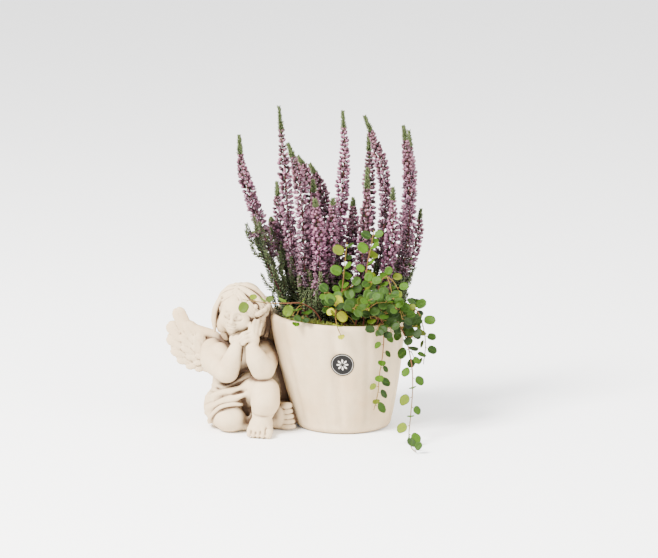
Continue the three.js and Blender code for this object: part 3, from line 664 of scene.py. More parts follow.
def face(field):
    """A calm child's face of plain proportions, looking along -Y in the head's own axes."""
    for side in (-1, 1):
        field.join(Ball((side * 8.2, -11.4, -9), (7.2, 7, 7.4), place=HEAD), 4)
    field.join(Ball((0, -15.2, -16), (5.2, 4.6, 4.2), place=HEAD), 4)
    field.join(Ball((0, -9, 7), (13.6, 10, 9), place=HEAD), 4)
    for side in (-1, 1):
        field.cut(Ball((side * EYE_X, -22.2, EYE_Z), (4.8, 4.4, 3.6), place=HEAD), 3)
    field.join(Limb([(0, -18.2, 0.5), (0, -19.8, -3.6), (0, -21.2, -7)], [1.4, 1.7, 2.3], HEAD), 2.5)
    for side in (-1, 1):
        field.join(Ball((side * 2.1, -19.6, -7.6), (1.6, 1.7, 1.5), place=HEAD), 1.2)
        eye(field, side)
    field.join(Ball((0, -18.9, -12.2), (4.4, 2.2, 2.8), place=HEAD), 2.4)
    for side in (-1, 1):
        field.join(Ball((side * 1.6, -20.2, -11.5), (2.3, 1.4, 0.95), (0, side * 0.18, 0), HEAD), 0.7)
    field.join(Ball((0, -20.1, -13.3), (2.6, 1.4, 1.15), place=HEAD), 0.7)
    mouth = [(-3.9, -19.2, -12.2), (-1.6, -21.2, -12.3), (0, -21.5, -12.6), (1.6, -21.2, -12.3),
             (3.9, -19.2, -12.2)]
    field.engrave(Limb(mouth, place=HEAD), 0.8, 0.8)


def on_cap(way, lift=0.0):
    """The point of the head's dome in a direction from its middle."""
    return CAP_MIDDLE + (CAP_HALF + lift) * unit(np.asarray(way, float))


def cap_way(azimuth, down):
    """A direction from its degrees round from the face and its degrees down from the crown."""
    a, d = math.radians(azimuth), math.radians(down)
    return np.array([math.sin(d) * math.sin(a), -math.sin(d) * math.cos(a), math.cos(d)])


def parting_way(share, side=0):
    """A direction along the parting, from the brow to the back, or just beside it."""
    return np.array([-0.2 + side * 0.07, -0.66 + 1.4 * share, 0.74 - 0.1 * abs(share - 0.5)])


def lock(field, start, end, wave, phase, radii, lift):
    """A wavy lock of hair over the dome from one direction to another, its strands drawn in it."""
    across = unit(np.cross(start, end))
    ways = []
    for share in np.linspace(0, 1, 9):
        way = unit(unit(start) * (1 - share) + unit(end) * share)
        ways.append(way + across * wave * math.sin(2 * math.pi * 1.4 * share + phase) * min(1, 2 * share))
    field.join(Limb([on_cap(way, lift) for way in ways], radii, HEAD, steps=2), 0.35)
    for offset in (-0.055, 0.06):
        strand = [on_cap(way + across * offset, lift + 0.86 * max(radii)) for way in ways]
        field.engrave(Limb(strand, place=HEAD, steps=2), 1.0, 0.75)


def curl(field, top, bottom, radius, turns, thickness, phase):
    """A ringlet: a strand wound round the line from top to bottom."""
    way = unit(bottom - top)
    side = unit(np.cross(way, [0.3, 1, 0.1]))
    other = np.cross(way, side)
    points = []
    for share in np.linspace(0, 1, int(8 * turns)):
        angle = phase + 2 * math.pi * turns * share
        round_it = math.cos(angle) * side + math.sin(angle) * other
        points.append(top + (bottom - top) * share + radius * (1 - 0.45 * share) * round_it)
    field.join(Limb(points, [thickness, thickness, 0.6 * thickness], HEAD, steps=2), 0.3)


# Smooth locks that hang beside the child's right cheek, in the head's own axes
CHEEK_LOCKS = (
    ([(-17.5, -10, 9), (-20.5, -9, -1), (-21.3, -7, -12), (-20.5, -6, -23)], [2.2, 2.9, 2.8, 1.2]),
    ([(-19.5, -5, 7), (-22.5, -4, -4), (-23, -3, -15), (-21.5, -2, -26)], [2.4, 3.2, 3, 1.3]),
    ([(-20, 2, 2), (-22.6, 2, -8), (-22, 3, -18), (-19, 4, -27)], [2.6, 3.2, 3, 1.4]),
)
# Hair that fills the hollows at both sides of the face, and the thick locks that fall over it in
# front and behind, in the object's own axes
BESIDE_FACE = (((-78, -1, 104), (8, 9, 20)), ((-112, -1, 97), (7, 8, 13)))
THICK_LOCKS = (
    ([(-79.5, -13, 124), (-76, -12, 114), (-76.5, -12, 104), (-78.5, -12, 92)], 4.6),
    ([(-74.5, -6, 122), (-71.5, -6, 112), (-72, -6, 101), (-74, -6, 88)], 4.4),
    ([(-112, -7, 104), (-112.5, -8, 95), (-111, -8, 86)], 5.6),
    ([(-80, 7, 122), (-76.5, 8.5, 110), (-78, 8.5, 99), (-81, 8, 86)], 4.6),
    ([(-74, 2, 118), (-71.5, 3, 106), (-72.5, 4, 96), (-76, 4, 86)], 4.2),
    ([(-112, 5, 106), (-114, 6.5, 97), (-112, 7, 86)], 5.0),
)


def hair(field):
    """Wavy locks swept from a parting to each side, with ringlets from the temples to the nape."""
    rng = np.random.default_rng(3)
    for side in (-1, 1):
        for i in range(LOCKS):
            share = i / (LOCKS - 1)
            start = parting_way(share, side)
            end = cap_way(side * (54 + 116 * share), 118 + rng.uniform(-5, 5))
            radii = np.array([1.6, 2.9, 3.3, 3.4, 3.4, 3.2, 2.8]) * rng.uniform(0.94, 1.08)
            phase = 0.5 * i + (1.2 if side > 0 else 0)
            lock(field, start, end, wave=0.085, phase=phase, radii=radii, lift=1.0)
    parting = [on_cap(parting_way(share), 0.6) for share in np.linspace(0, 1, 6)]
    field.join(Limb(parting, [2.2, 2.6, 2.4], HEAD), 1.2)
    for i in range(CURLS):
        azimuth = -172 + 344 * i / (CURLS - 1)
        if abs(azimuth) < FACE_AZIMUTH:
            continue
        top = on_cap(cap_way(azimuth, 100), 1.4)
        bottom = on_cap(cap_way(azimuth + 5, 146), -1) + np.array([0, 0, rng.uniform(-3, 0)])
        curl(field, top, bottom, radius=2.9, turns=3.2, thickness=1.9, phase=1.1 * i)
    for i, azimuth in enumerate(TEMPLE_AZIMUTHS):
        top = on_cap(cap_way(azimuth, 74), 2.6)
        bottom = on_cap(cap_way(azimuth, 122), 3.6) + np.array([0, 0, -4])
        curl(field, top, bottom, radius=3.4, turns=2.8, thickness=2.2, phase=2 + 1.7 * i)
    for points, radii in CHEEK_LOCKS:
        field.join(Limb(points, radii, HEAD), 0.5)
    field.join(Ball((0, 8, -17), (16.5, 12.5, 17), place=HEAD), 2)
    for middle, half in BESIDE_FACE:
        field.join(Ball(middle, half), 1.5)
    for points, radius in THICK_LOCKS:
        field.join(Limb(points, radius * np.array([1, 1.1, 1, 0.7])), 0.5)
        for offset in (-0.45, 0.4):
            strand = np.array(points, float) + np.array([offset * radius, np.sign(points[0][1]) * radius, 0])
            field.engrave(Limb(field.settle(strand)), 0.9, 0.8)
    for i, azimuth in enumerate(NAPE_AZIMUTHS):
        top = on_cap(cap_way(azimuth, 88), 0.4)
        bottom = top * np.array([0.84, 0.84, 0]) + np.array([0, 1.5, NAPE_LOW + rng.uniform(-2.5, 2.5)])
        curl(field, top, bottom, radius=3.2, turns=2.7, thickness=2.9, phase=1.9 * i)


def head(field):
    """Skull, face, dome of hair and the masses of hair at the nape, then the locks over them."""
    field.join(Ball((0, -3, -2), (16.6, 17.4, 19.8), place=HEAD), 0)
    face(field)
    field.join(Ball(CAP_MIDDLE, CAP_HALF, (-0.12, 0, 0), HEAD), 0.6)
    field.join(Ball((-2, 4, -14), (15.5, 12, 14), place=HEAD), 2)
    field.join(Ball((-14, 0, -14), (8, 9, 12), place=HEAD), 1.5)
    field.join(Ball((16, 2, -8), (9, 10, 14), place=HEAD), 1.5)
    hair(field)


# Figure: body

def digits(field, roots, tips, radii, lift, blend=0.6):
    """Fingers or toes from roots to tips, bent by lift at their middle knuckle."""
    for root, tip, radius in zip(roots, tips, radii):
        root, tip = np.array(root, float), np.array(tip, float)
        middle = 0.5 * (root + tip) + np.array(lift)
        field.join(Limb([root, middle, tip], [radius, radius * 1.02, radius * 0.86], steps=3), blend)


def torso(field):
    """Hips, belly, chest, shoulders and neck, with the line of the spine and the shoulder blades."""
    field.join(Ball((-106.5, 4, 20.5), (24.2, 23.6, 21.6)), 0)
    field.join(Ball((-105, 1, 42), (20.5, 17.5, 20)), 6)
    field.join(Ball((-100, -3, 62), (21, 15, 17)), 6)
    field.join(Ball((-99, 4, 72), (24, 11, 11)), 5)
    field.join(Ball((-102, -9, 42), (14, 12, 12)), 6)
    field.join(Limb([(-98, -4, 76), (-98, -9, 86), (-99, -13, 98)], [11, 9.4, 9.4]), 4)
    spine = [(-100, 15.5, 82), (-101, 14.5, 66), (-103, 18, 48), (-107, 25, 32)]
    field.engrave(Limb(field.settle(spine)), 1.3, 3)
    for side in (-1, 1):
        blade = [(-100 + side * 9, 14, 78), (-100 + side * 12, 14, 70), (-100 + side * 10, 14, 62)]
        field.join(Limb(field.settle(blade, -2.4), [3, 3.6, 3]), 4)


def right_arm(field):
    """The arm at -X, bent up with its fist under the chin."""
    field.join(Limb([(-124.5, -4, 73), (-123.5, -17, 65.5), (-111.5, -31, 58.5)], [11.6, 11.9, 10.8]), 3)
    field.join(Limb([(-109.5, -33, 58.8), (-104.4, -37.5, 72), (-100, -39.5, 84.5)], [10.6, 9.0, 6.0]), 1.6)
    field.join(Limb([(-117, -15, 75), (-113, -22, 71), (-110, -27, 65)], [8, 7, 7]), 3)
    field.join(Ball((-98.4, -39.6, 90), (6.4, 5.2, 5.2), (0, 0.5, 0)), 2)
    roots = [(-97.6, -42.6, 93), (-96, -44, 90.6), (-94.6, -44.2, 88)]
    tips = [(-90.4, -41.6, 98), (-88.6, -43.4, 95.2), (-87.6, -43.6, 92)]
    digits(field, roots, tips, [2.2, 2.3, 2.2], (-0.4, -1.8, 1))
    field.join(Limb([(-102.6, -39.4, 87), (-105.2, -40, 90), (-105.4, -38.4, 92.6)], [2.7, 2.3, 1.8]), 0.9)


def left_arm(field):
    """The arm at +X, its elbow on the raised knee and its hand at the cheek."""
    field.join(Limb([(-76, -4, 74), (-73, -18, 68.5), (-76, -38, 63)], [11.4, 11.4, 11.4]), 3)
    field.join(Limb([(-76.5, -40, 63.5), (-82, -44, 73), (-86, -43.6, 83)], [11.6, 9.8, 6.2]), 1.6)
    field.join(Ball((-85.4, -41.4, 91.6), (6.2, 4.8, 8), (0, -0.1, 0)), 2)
    roots = [(-88.2, -41.6, 96), (-85.4, -42.4, 98), (-82.4, -41.6, 98.2), (-79.8, -40, 96.4)]
    tips = [(-86.8, -36, 105), (-83.6, -34.8, 108), (-80.4, -34.2, 107.6), (-77.8, -33.8, 104.4)]
    digits(field, roots, tips, [2.1, 2.3, 2.2, 2.0], (0, -1.8, 0.8))


def left_leg(field):
    """The raised leg: its knee forward and its foot flat on the ground."""
    field.join(Limb([(-93, 0, 24), (-84.5, -20, 35), (-76.5, -35, 41)], [17, 15.6, 13.4]), 4)
    field.join(Limb([(-74.4, -38.5, 41), (-74, -43.5, 32), (-76.6, -42.5, 20)], [13.8, 13.8, 9.8]), 1.6)
    field.join(Ball((-77, -38, 10.5), (10, 11.5, 10.4)), 2)
    field.join(Ball((-78.2, -45, 10), (10.8, 11, 8.8), (-0.35, 0, 0)), 3)
    field.join(Ball((-78.9, -50, 6), (12.4, 10.4, 6.8), (-0.08, 0, 0)), 3)
    ankle = [(-87, -46, 21.5), (-82, -52, 20), (-76, -53, 19.6), (-70, -50, 20.4), (-66.5, -44, 22)]
    field.engrave(Limb(field.settle(ankle)), 1.0, 1.2)
    across = np.array([-88.3, -84.2, -79.9, -75.4, -70.2])
    roots = [(x, -53 - 0.9 * i, 5.6) for i, x in enumerate(across)]
    tips = [(x - 0.7, -57.6 - 1.1 * min(i, 3), 3.4) for i, x in enumerate(across)]
    digits(field, roots, tips, [2.5, 2.6, 2.7, 2.9, 3.7], (0, -0.4, 1.4), 0.5)
    for x, y in zip(0.5 * (across[1:] + across[:-1]), (-55, -56, -57, -57.5)):
        groove = [(x, y + 5, 11), (x - 0.2, y, 8.6), (x - 0.4, y - 6, 4)]
        field.engrave(Limb(groove), 0.8, 1.1)


def right_leg(field):
    """The folded leg: its knee to the front left, its foot coming out beside the pot."""
    field.join(Limb([(-115.5, 0, 17.5), (-113.5, -15, 16.5), (-109, -27, 14.5)], [18.3, 17, 14.6]), 4)
    field.join(Ball((-107.5, -31, 13.4), (15.8, 14.4, 13.2)), 2)
    field.join(Limb([(-106, -29, 11), (-90, -24, 10), (-72, -22, 10)], [11, 10, 9]), 2)
    field.join(Ball((-60.5, -23, 14), (10.5, 6.6, 13), (0, 0.15, 0)), 2.5)
    heights = [3.8, 8.6, 13.6, 18.8, 24.2]
    roots = [(-57, -26, z) for z in heights]
    tips = [(-47.6 - 0.9 * i, -27.4, z + 0.6) for i, z in enumerate(heights)]
    digits(field, roots, tips, [2.6, 2.6, 2.7, 2.8, 3.3], (0, -1.0, 0), 0.5)


# The cloth's rolls from the waist down to the lap, and the edge of the cloth over the knee
ROLLS = (
    ([(-126, 2, 38), (-121, -14, 41), (-112, -25, 46), (-98, -29, 51), (-88, -28, 54)], 2.6),
    ([(-129, -4, 27), (-121.5, -22, 33), (-111, -31, 39), (-98, -34, 43), (-88, -35, 47)], 3.2),
    ([(-129.5, -10, 14), (-124, -25, 22), (-115, -34, 30), (-103, -38, 34), (-92, -38, 38)], 3.2),
)
HEM = [(-131, -6, 3), (-127, -20, 7), (-123, -29, 15), (-116, -35.5, 23), (-106, -39, 28),
       (-97, -39, 27.5), (-92.5, -36, 27)]
# The hollow between the two legs, from the lap down
LAP_GAP = [(-88.5, -31, 48), (-90, -33, 42), (-92, -33, 34), (-93, -31, 25), (-92, -29, 14), (-91, -28, 4)]


def drape(field):
    """The cloth round the hips and lap: rolls along its folds, and a thick hem over the knee."""
    field.join(Ball((-107.6, 1, 19.5), (24.4, 24, 21.6)), 3)
    field.join(Limb([(-114.5, -4, 20), (-111.5, -17, 23), (-105, -26, 30)], [17.8, 16.2, 12.5]), 3)
    field.join(Limb([(-93, -10, 36), (-88, -22, 42), (-86, -30, 43)], [15, 14.5, 11]), 3)
    for points, radius in ROLLS:
        radii = radius * np.array([0.6, 1, 1, 0.7])
        field.join(Limb(field.settle(points, -0.2 * radius), radii), 1.8)
    for (upper, _), (lower, _) in zip(ROLLS[:-1], ROLLS[1:]):
        between = field.settle(0.5 * (np.array(upper) + np.array(lower)))
        field.engrave(Limb(between), 1.2, 1.5)
    edge = field.settle(HEM, 0.6)
    field.join(Limb(edge, [1.8, 2.2, 2.2, 1.6]), 0.8)
    field.engrave(Limb(edge + np.array([1.2, -1.6, -2.8])), 1.4, 1.3)
    field.cut(Limb(LAP_GAP, [0.8, 2.0, 3.2, 3.6, 3.0, 2.2]), 2.5)


# Folds of the cloth behind the hips, and the grooves where it hangs between the child and the pot
BACK_FOLDS = (
    ([(-127, 10, 41), (-119, 20, 41), (-105, 23, 40), (-92, 20, 43), (-80, 24, 48), (-66, 26, 52)], 2.6),
    ([(-131, 8, 29), (-124, 21, 26), (-108, 28, 25), (-93, 26, 28), (-80, 28, 34), (-66, 30, 40)], 3.0),
    ([(-130, 10, 16), (-122, 24, 12), (-106, 30, 11), (-90, 28, 13), (-77, 29, 20), (-64, 30, 28)], 3.0),
)
BACK_GROOVES = (
    [(-84, 26, 50), (-80, 28, 38), (-78, 29, 22), (-77, 27, 6)],
    [(-74, 26, 64), (-71, 29, 46), (-69, 30, 26), (-68, 28, 8)],
    [(-112, 26, 36), (-113, 29, 26), (-112, 29, 14)],
)


def bridge(field):
    """What joins the child to the pot, set back between its leg and the pot's wall."""
    field.join(Ball((-70, 9, 34), (24, 19, 42)), 3)
    field.join(Ball((-62, -10, 12), (22, 15, 14)), 3)
    field.join(Ball((-88, 10, 38), (17, 17.5, 42)), 6)
    for points, radius in BACK_FOLDS:
        radii = radius * np.array([0.5, 1, 1, 0.6])
        field.join(Limb(field.settle(points, -0.3 * radius), radii), 2.2)
    for points in BACK_GROOVES:
        field.engrave(Limb(field.settle(points)), 1.5, 2.2)


# Figure: wings

FEATHER_ROWS = (
    {"angles": (139, 156, 169, 182, 194, 206, 218, 231), "lengths": (59, 57, 53.5, 49, 44.5, 38.5, 32.5, 27),
     "sags": (7, 4, 2, 1, 0, -1, -1, 0), "radius": 7.2, "lift": 0.0},
    {"angles": (143, 160, 175, 190, 205, 221), "lengths": (42, 41, 38, 34, 29, 24),
     "sags": (5, 3, 1, 0, -1, 0), "radius": 6.6, "lift": 2.4},
    {"angles": (150, 169, 189, 211), "lengths": (28, 27, 24, 20),
     "sags": (3, 1, 0, 0), "radius": 6.4, "lift": 4.6},
)
FEATHER_TILT = 0.16
FEATHER_BENDS = ((0, 0), (0.34, 0.7), (0.68, 0.9), (1.0, 0.0))  # along it, and share of its sag
BARB_SPACING = 3.6
# The wing's leading edge from the shoulder outwards
WING_EDGE = ((9, -7, 3), (-4, 0, 13.5), (-18, 0, 18.5), (-31, 0, 23), (-40, 0, 31))


class Feather(Limb):
    """A flat feather with a round tip, a groove along its shaft and fine barbs."""

    def __init__(self, route, normal, radius):
        super().__init__(route, [0.5 * radius, 0.85 * radius, radius, 0.94 * radius], steps=2,
                         normal=normal, flat=2.9)

    def distance(self, x, y, z):
        x, y, z = self.pressed(x, y, z)
        nearest, across, run = None, 0, 0
        travelled = 0.0
        for a, b, ra, rb in zip(self.points[:-1], self.points[1:], self.radii[:-1], self.radii[1:]):
            way = b - a
            length = np.linalg.norm(way)
            way = way / length
            beside = np.cross(self.normal, way)
            dx, dy, dz = x - a[0], y - a[1], z - a[2]
            along = dx * way[0] + dy * way[1] + dz * way[2]
            held = np.clip(along, 0, length)
            aside = dx * beside[0] + dy * beside[1] + dz * beside[2]
            squared = dx * dx + dy * dy + dz * dz - along * along + (along - held) ** 2
            d = np.sqrt(np.maximum(squared, 0)) - (ra + (rb - ra) * held / length)
            closer = True if nearest is None else d < nearest
            across = np.where(closer, aside, across)
            run = np.where(closer, travelled + along, run)
            nearest = d if nearest is None else np.minimum(nearest, d)
            travelled += length
        shaft = 0.55 * np.exp(-((across / 0.9) ** 2))
        barbs = 0.09 * np.cos(2 * np.pi * (run - 1.2 * np.abs(across)) / BARB_SPACING)
        return nearest / (0.5 + 0.5 * self.flat) + shaft + barbs


def wing(field, root, turn, side):
    """Feathers spread from a root in rows on both faces of a wing, whose plane is turned about Z.
    It spreads to -X where side is 1, and to +X where it is -1."""
    place = Placed(root, (0, 0, turn))
    field.join(Ball((-3 * side, 0, 0), (17, 6, 15), place=place), 3)
    for row in FEATHER_ROWS:
        for angle, length, sag in zip(row["angles"], row["lengths"], row["sags"]):
            bearing = math.radians(angle)
            way = np.array([side * math.cos(bearing), 0, math.sin(bearing)])
            down = np.array([side * math.sin(bearing), 0, -math.cos(bearing)])
            reach = length - row["radius"]
            for face_side in ((1, -1) if row["lift"] else (1,)):
                tilt = FEATHER_TILT * side * face_side
                normal = np.array([0, 1, 0]) * math.cos(tilt) + np.cross(way, [0, 1, 0]) * math.sin(tilt)
                start = np.array([0, -face_side * row["lift"], 0])
                route = [start + way * reach * share - down * sag * bend for share, bend in FEATHER_BENDS]
                feather = Feather(place.point(route), place.rotation @ normal, row["radius"])
                field.join(feather, 0.25)
    edge = np.array(WING_EDGE) * np.array([side, 1, 1])
    field.join(Limb(edge, [5, 5, 4.6, 4, 2.4], place), 1.6)


class Ground:
    """Everything below the plane that the object stands on."""

    box = (np.array([-200.0, -100, -10]), np.array([0.0, 100, 0]))

    def distance(self, x, y, z):
        return z + 0 * x + 0 * y


class PotBody:
    """The pot as a solid body, made smaller by inset."""

    box = (np.array([-75.0, -68, 0]), np.array([62.0, 68, POT_HEIGHT]))

    def __init__(self, inset):
        self.inset = inset

    def distance(self, x, y, z):
        out = np.hypot(x - pot_axis_x(z), y) - (pot_radius(z) - self.inset)
        return np.maximum(out, z - POT_HEIGHT + self.inset).astype(np.float32)


# How far the stone is blurred, how far ahead of the surface it is then looked up in millimetres,
# the shares of it between which the brown sets in, and how strong it is. The brown is partly the
# stone's antique wash, in its fine grooves, and partly painted shade in its broad hollows.
HOLLOWS = ((0, 0, 0.52, 0.64, 0.7), (3, 2.5, 0.26, 0.55, 0.6), (7, 7.0, 0.2, 0.5, 0.75))


def blurred(solid, half):
    """A mean over boxes of 2 half + 1 points, taken twice along each axis."""
    width = 2 * half + 1
    for _ in range(2):
        for axis in range(3):
            pad = [(0, 0)] * 3
            pad[axis] = (half + 1, half)
            total = np.cumsum(np.pad(solid, pad, mode="edge"), axis=axis, dtype=np.float32)
            ends = [slice(None)] * 3
            ends[axis] = slice(width, None)
            starts = [slice(None)] * 3
            starts[axis] = slice(0, -width)
            solid = (total[tuple(ends)] - total[tuple(starts)]) / width
    return solid


def hollowness(field, points, normals):
    """How deep each point of the surface lies in a groove or a hollow, from how much stone stands
    in front of it, near by and further off. It browns the stone: partly its antique wash, in the
    fine grooves, and partly painted shade in the broad hollows."""
    _, x, y, z = field.window((field.low, field.low + field.step * field.shape), 0)
    stone = np.minimum(field.values, PotBody(0.0).distance(x, y, z))
    near = blurred(np.clip(0.5 - stone / (2 * field.step), 0, 1).astype(np.float32), 2)[::2, ::2, ::2]
    wash_and_shade = 0
    for blur, ahead, low, high, weight in HOLLOWS:
        grid = blurred(near, blur) if blur else near
        at = (points + ahead * normals - field.low) / (2 * field.step)
        wash_and_shade = wash_and_shade + weight * smooth(low, high, sampled(grid, at))
    return wash_and_shade


def thinned(piece, faces):
    """The piece with its surface joined into about so many triangles."""
    thin = piece.modifiers.new("thin", "DECIMATE")
    triangles = sum(len(p.vertices) - 2 for p in piece.data.polygons)
    thin.ratio = min(1, faces / triangles)
    shape = bpy.data.meshes.new_from_object(piece.evaluated_get(bpy.context.evaluated_depsgraph_get()))
    piece.modifiers.clear()
    rough = piece.data
    piece.data = shape
    bpy.data.meshes.remove(rough)
    return piece


def child():
    """The figure, cut off at the ground and where the pot's wall begins."""
    field = Field(FIELD_LOW, FIELD_HIGH, FIELD_STEP)
    torso(field)
    right_leg(field)
    drape(field)
    left_leg(field)
    bridge(field)
    right_arm(field)
    left_arm(field)
    wing(field, root=(-119.5, 12, 70), turn=-0.2, side=1)
    wing(field, root=(-84, 18, 68), turn=0.78, side=-1)
    head(field)
    field.cut(PotBody(3.0), 0.6)
    field.cut(Ground(), 0.6)
    points, quads = field.surface()
    points[:, 2] = np.maximum(points[:, 2], 0)
    piece = thinned(made_mesh("stone_child", points, [quads], [CAST_STONE]), FIGURE_FACES)
    corners = np.zeros(len(piece.data.vertices) * 3, np.float32)
    piece.data.vertices.foreach_get("co", corners)
    normals = np.zeros(len(corners), np.float32)
    piece.data.vertex_normals.foreach_get("vector", normals)
    # Brown for the hollows: partly the stone's antique wash, partly painted shade
    wash_and_shade = hollowness(field, corners.reshape(-1, 3) / MM, normals.reshape(-1, 3))
    attribute = piece.data.attributes.new("wash_and_shade", "FLOAT", "POINT")
    attribute.data.foreach_set("value", wash_and_shade.astype(np.float32))
    return piece


fitted(child(), "cast_stone", "planter")


# Label

LABEL_RINGS = 40
LABEL_TURNS = 144
INK = linear(0.075, 0.07, 0.068)
PAPER_PALE = linear(0.78, 0.76, 0.72)
# The print, as shares of the label's radius: a ring, and petals from near the middle outwards
LABEL_RIM = (0.87, 0.895)
LABEL_PETALS = (0.12, 0.5)
PETAL_COUNT = 8


def label_is_pale(reach, turn):
    """The label's print: a fine ring near its edge and eight petals in the middle."""
    ring = (reach > LABEL_RIM[0]) & (reach < LABEL_RIM[1])
    foot, tip = LABEL_PETALS
    width = np.sin(np.pi * np.clip((reach - foot) / (tip - foot), 0, 1))
    petals = (reach > foot) & (reach < tip) & (np.cos(PETAL_COUNT * turn) > 1 - 1.1 * width)
    return ring | petals


def label():
    """A thin paper disc bent round the wall, printed dark to its edge."""
    share = np.arange(1, LABEL_RINGS + 1) / LABEL_RINGS
    turn = 2 * np.pi * np.arange(LABEL_TURNS) / LABEL_TURNS
    front = [(s, 0.5) for s in share[:-1]] + [(0.99, 0.42)]
    back = [(0.99, -0.5)] + [(s, -0.5) for s in share[:-1:4][::-1]]
    profile = np.array(front + back)
    u = LABEL_RADIUS * profile[:, :1] * np.cos(turn)
    height = LABEL_HEIGHT + LABEL_RADIUS * profile[:, :1] * np.sin(turn)
    radius = pot_radius(height) + GAP + LABEL_THICKNESS * (0.5 + profile[:, 1:])
    angle = LABEL_ANGLE + u / pot_radius(LABEL_HEIGHT)
    x = pot_axis_x(height) + radius * np.cos(angle)
    vertices = np.stack([x, radius * np.sin(angle), height], -1).reshape(-1, 3)
    ends = []
    for lift in (1.0, 0.0):
        out = pot_radius(LABEL_HEIGHT) + GAP + LABEL_THICKNESS * lift
        x = pot_axis_x(LABEL_HEIGHT) + out * math.cos(LABEL_ANGLE)
        ends.append([x, out * math.sin(LABEL_ANGLE), LABEL_HEIGHT])
    faces = tube_faces(len(profile), LABEL_TURNS)
    vertices = np.vstack([vertices, ends])
    reach = np.concatenate([np.repeat(profile[:, 0], LABEL_TURNS), [0, 0]])
    turns = np.concatenate([np.tile(turn, len(profile)), [0, 0]])
    pale = label_is_pale(reach, turns)[:, None]
    tints = np.where(pale, PAPER_PALE, INK)
    return made_mesh("printed_label", vertices, [faces], [PRINTED_PAPER], attributes={"tint": tints})


fitted(label(), "label_paper", "round_label")


# Stems: routes from the soil

HEATHER = [
    {"route": [[-52, 0, 88], [-57, -2, 122], [-68, -4, 162], [-79, -7, 197], [-90, -10, 230],
               [-96, -12, 252], [-98, -14, 280]], "flowers": [0.34, 0.9]},
    {"route": [[-47, -14, 88], [-56, -15, 122], [-69, -19, 152], [-78, -23, 174], [-83, -26, 190]],
     "flowers": [0.96, 0.97]},
    {"route": [[-44, 8, 88], [-50, 11, 124], [-58, 14, 156], [-66, 17, 184], [-69, 19, 196]],
     "flowers": [0.6, 0.9]},
    {"route": [[-38, -3, 88], [-43, 1, 125], [-46, 3, 150], [-50, 4, 180], [-54, 4, 220],
               [-57, 2, 262], [-61, 0, 306]], "flowers": [0.3, 0.91]},
    {"route": [[-33, -16, 88], [-35, -15, 124], [-37, -14, 155], [-38, -15, 192], [-41, -17, 230],
               [-45, -19, 252], [-52, -21, 273]], "flowers": [0.24, 0.9]},
    {"route": [[-30, 14, 88], [-32, 16, 130], [-32, 19, 171], [-31, 23, 210], [-35, 27, 238],
               [-43, 30, 254]], "flowers": [0.3, 0.89]},
    {"route": [[-20, 34, 88], [-20, 36, 130], [-19, 40, 174], [-18, 44, 206], [-24, 48, 228],
               [-32, 50, 244]], "flowers": [0.34, 0.88]},
    {"route": [[-44, 24, 88], [-50, 26, 123], [-57, 30, 166], [-62, 35, 202], [-64, 39, 228]],
     "flowers": [0.4, 0.87]},
    {"route": [[-24, -1, 88], [-26, 0, 124], [-27, 1, 162], [-27, 0, 200], [-29, -2, 236]],
     "flowers": [0.24, 0.92]},
    {"route": [[-20, -22, 88], [-22, -23, 126], [-23, -25, 164], [-24, -28, 196], [-27, -31, 222]],
     "flowers": [0.28, 0.92]},
    {"route": [[-8, 2, 88], [-9, 3, 124], [-7, 4, 161], [-3, 6, 197], [-1, 8, 231], [1, 10, 264],
               [-1, 12, 300]], "flowers": [0.22, 0.92]},
    {"route": [[-12, -14, 88], [-15, -14, 124], [-15, -15, 164], [-12, -17, 193], [-10, -20, 221]],
     "flowers": [0.26, 0.94]},
    {"route": [[2, 16, 88], [2, 18, 124], [6, 22, 166], [9, 26, 190], [9, 29, 214]],
     "flowers": [0.3, 0.92]},
    {"route": [[22, 6, 88], [28, 9, 124], [36, 12, 170], [40, 16, 210], [37, 18, 243],
               [30, 20, 268], [20, 22, 294]], "flowers": [0.26, 0.91]},
    {"route": [[16, 30, 88], [19, 32, 124], [24, 37, 184], [25, 43, 232], [24, 49, 273]],
     "flowers": [0.3, 0.9]},
    {"route": [[10, -12, 88], [13, -11, 124], [18, -10, 170], [21, -12, 208], [22, -15, 249]],
     "flowers": [0.26, 0.88]},
    {"route": [[40, -8, 88], [50, -6, 124], [57, -5, 158], [62, -5, 198], [62, -6, 237],
               [59, -7, 263], [56, -8, 288]], "flowers": [0.28, 0.91]},
    {"route": [[38, 14, 88], [44, 16, 124], [54, 19, 167], [62, 23, 215], [64, 26, 248],
               [62, 29, 279]], "flowers": [0.3, 0.9]},
    {"route": [[28, -14, 88], [34, -14, 124], [42, -17, 160], [46, -20, 195], [46, -25, 232]],
     "flowers": [0.26, 0.92]},
    {"route": [[34, 19, 88], [40, 22, 108], [53, 28, 132], [65, 31, 156], [71, 33, 178],
               [74, 35, 202]], "flowers": [0.4, 0.92]},
]

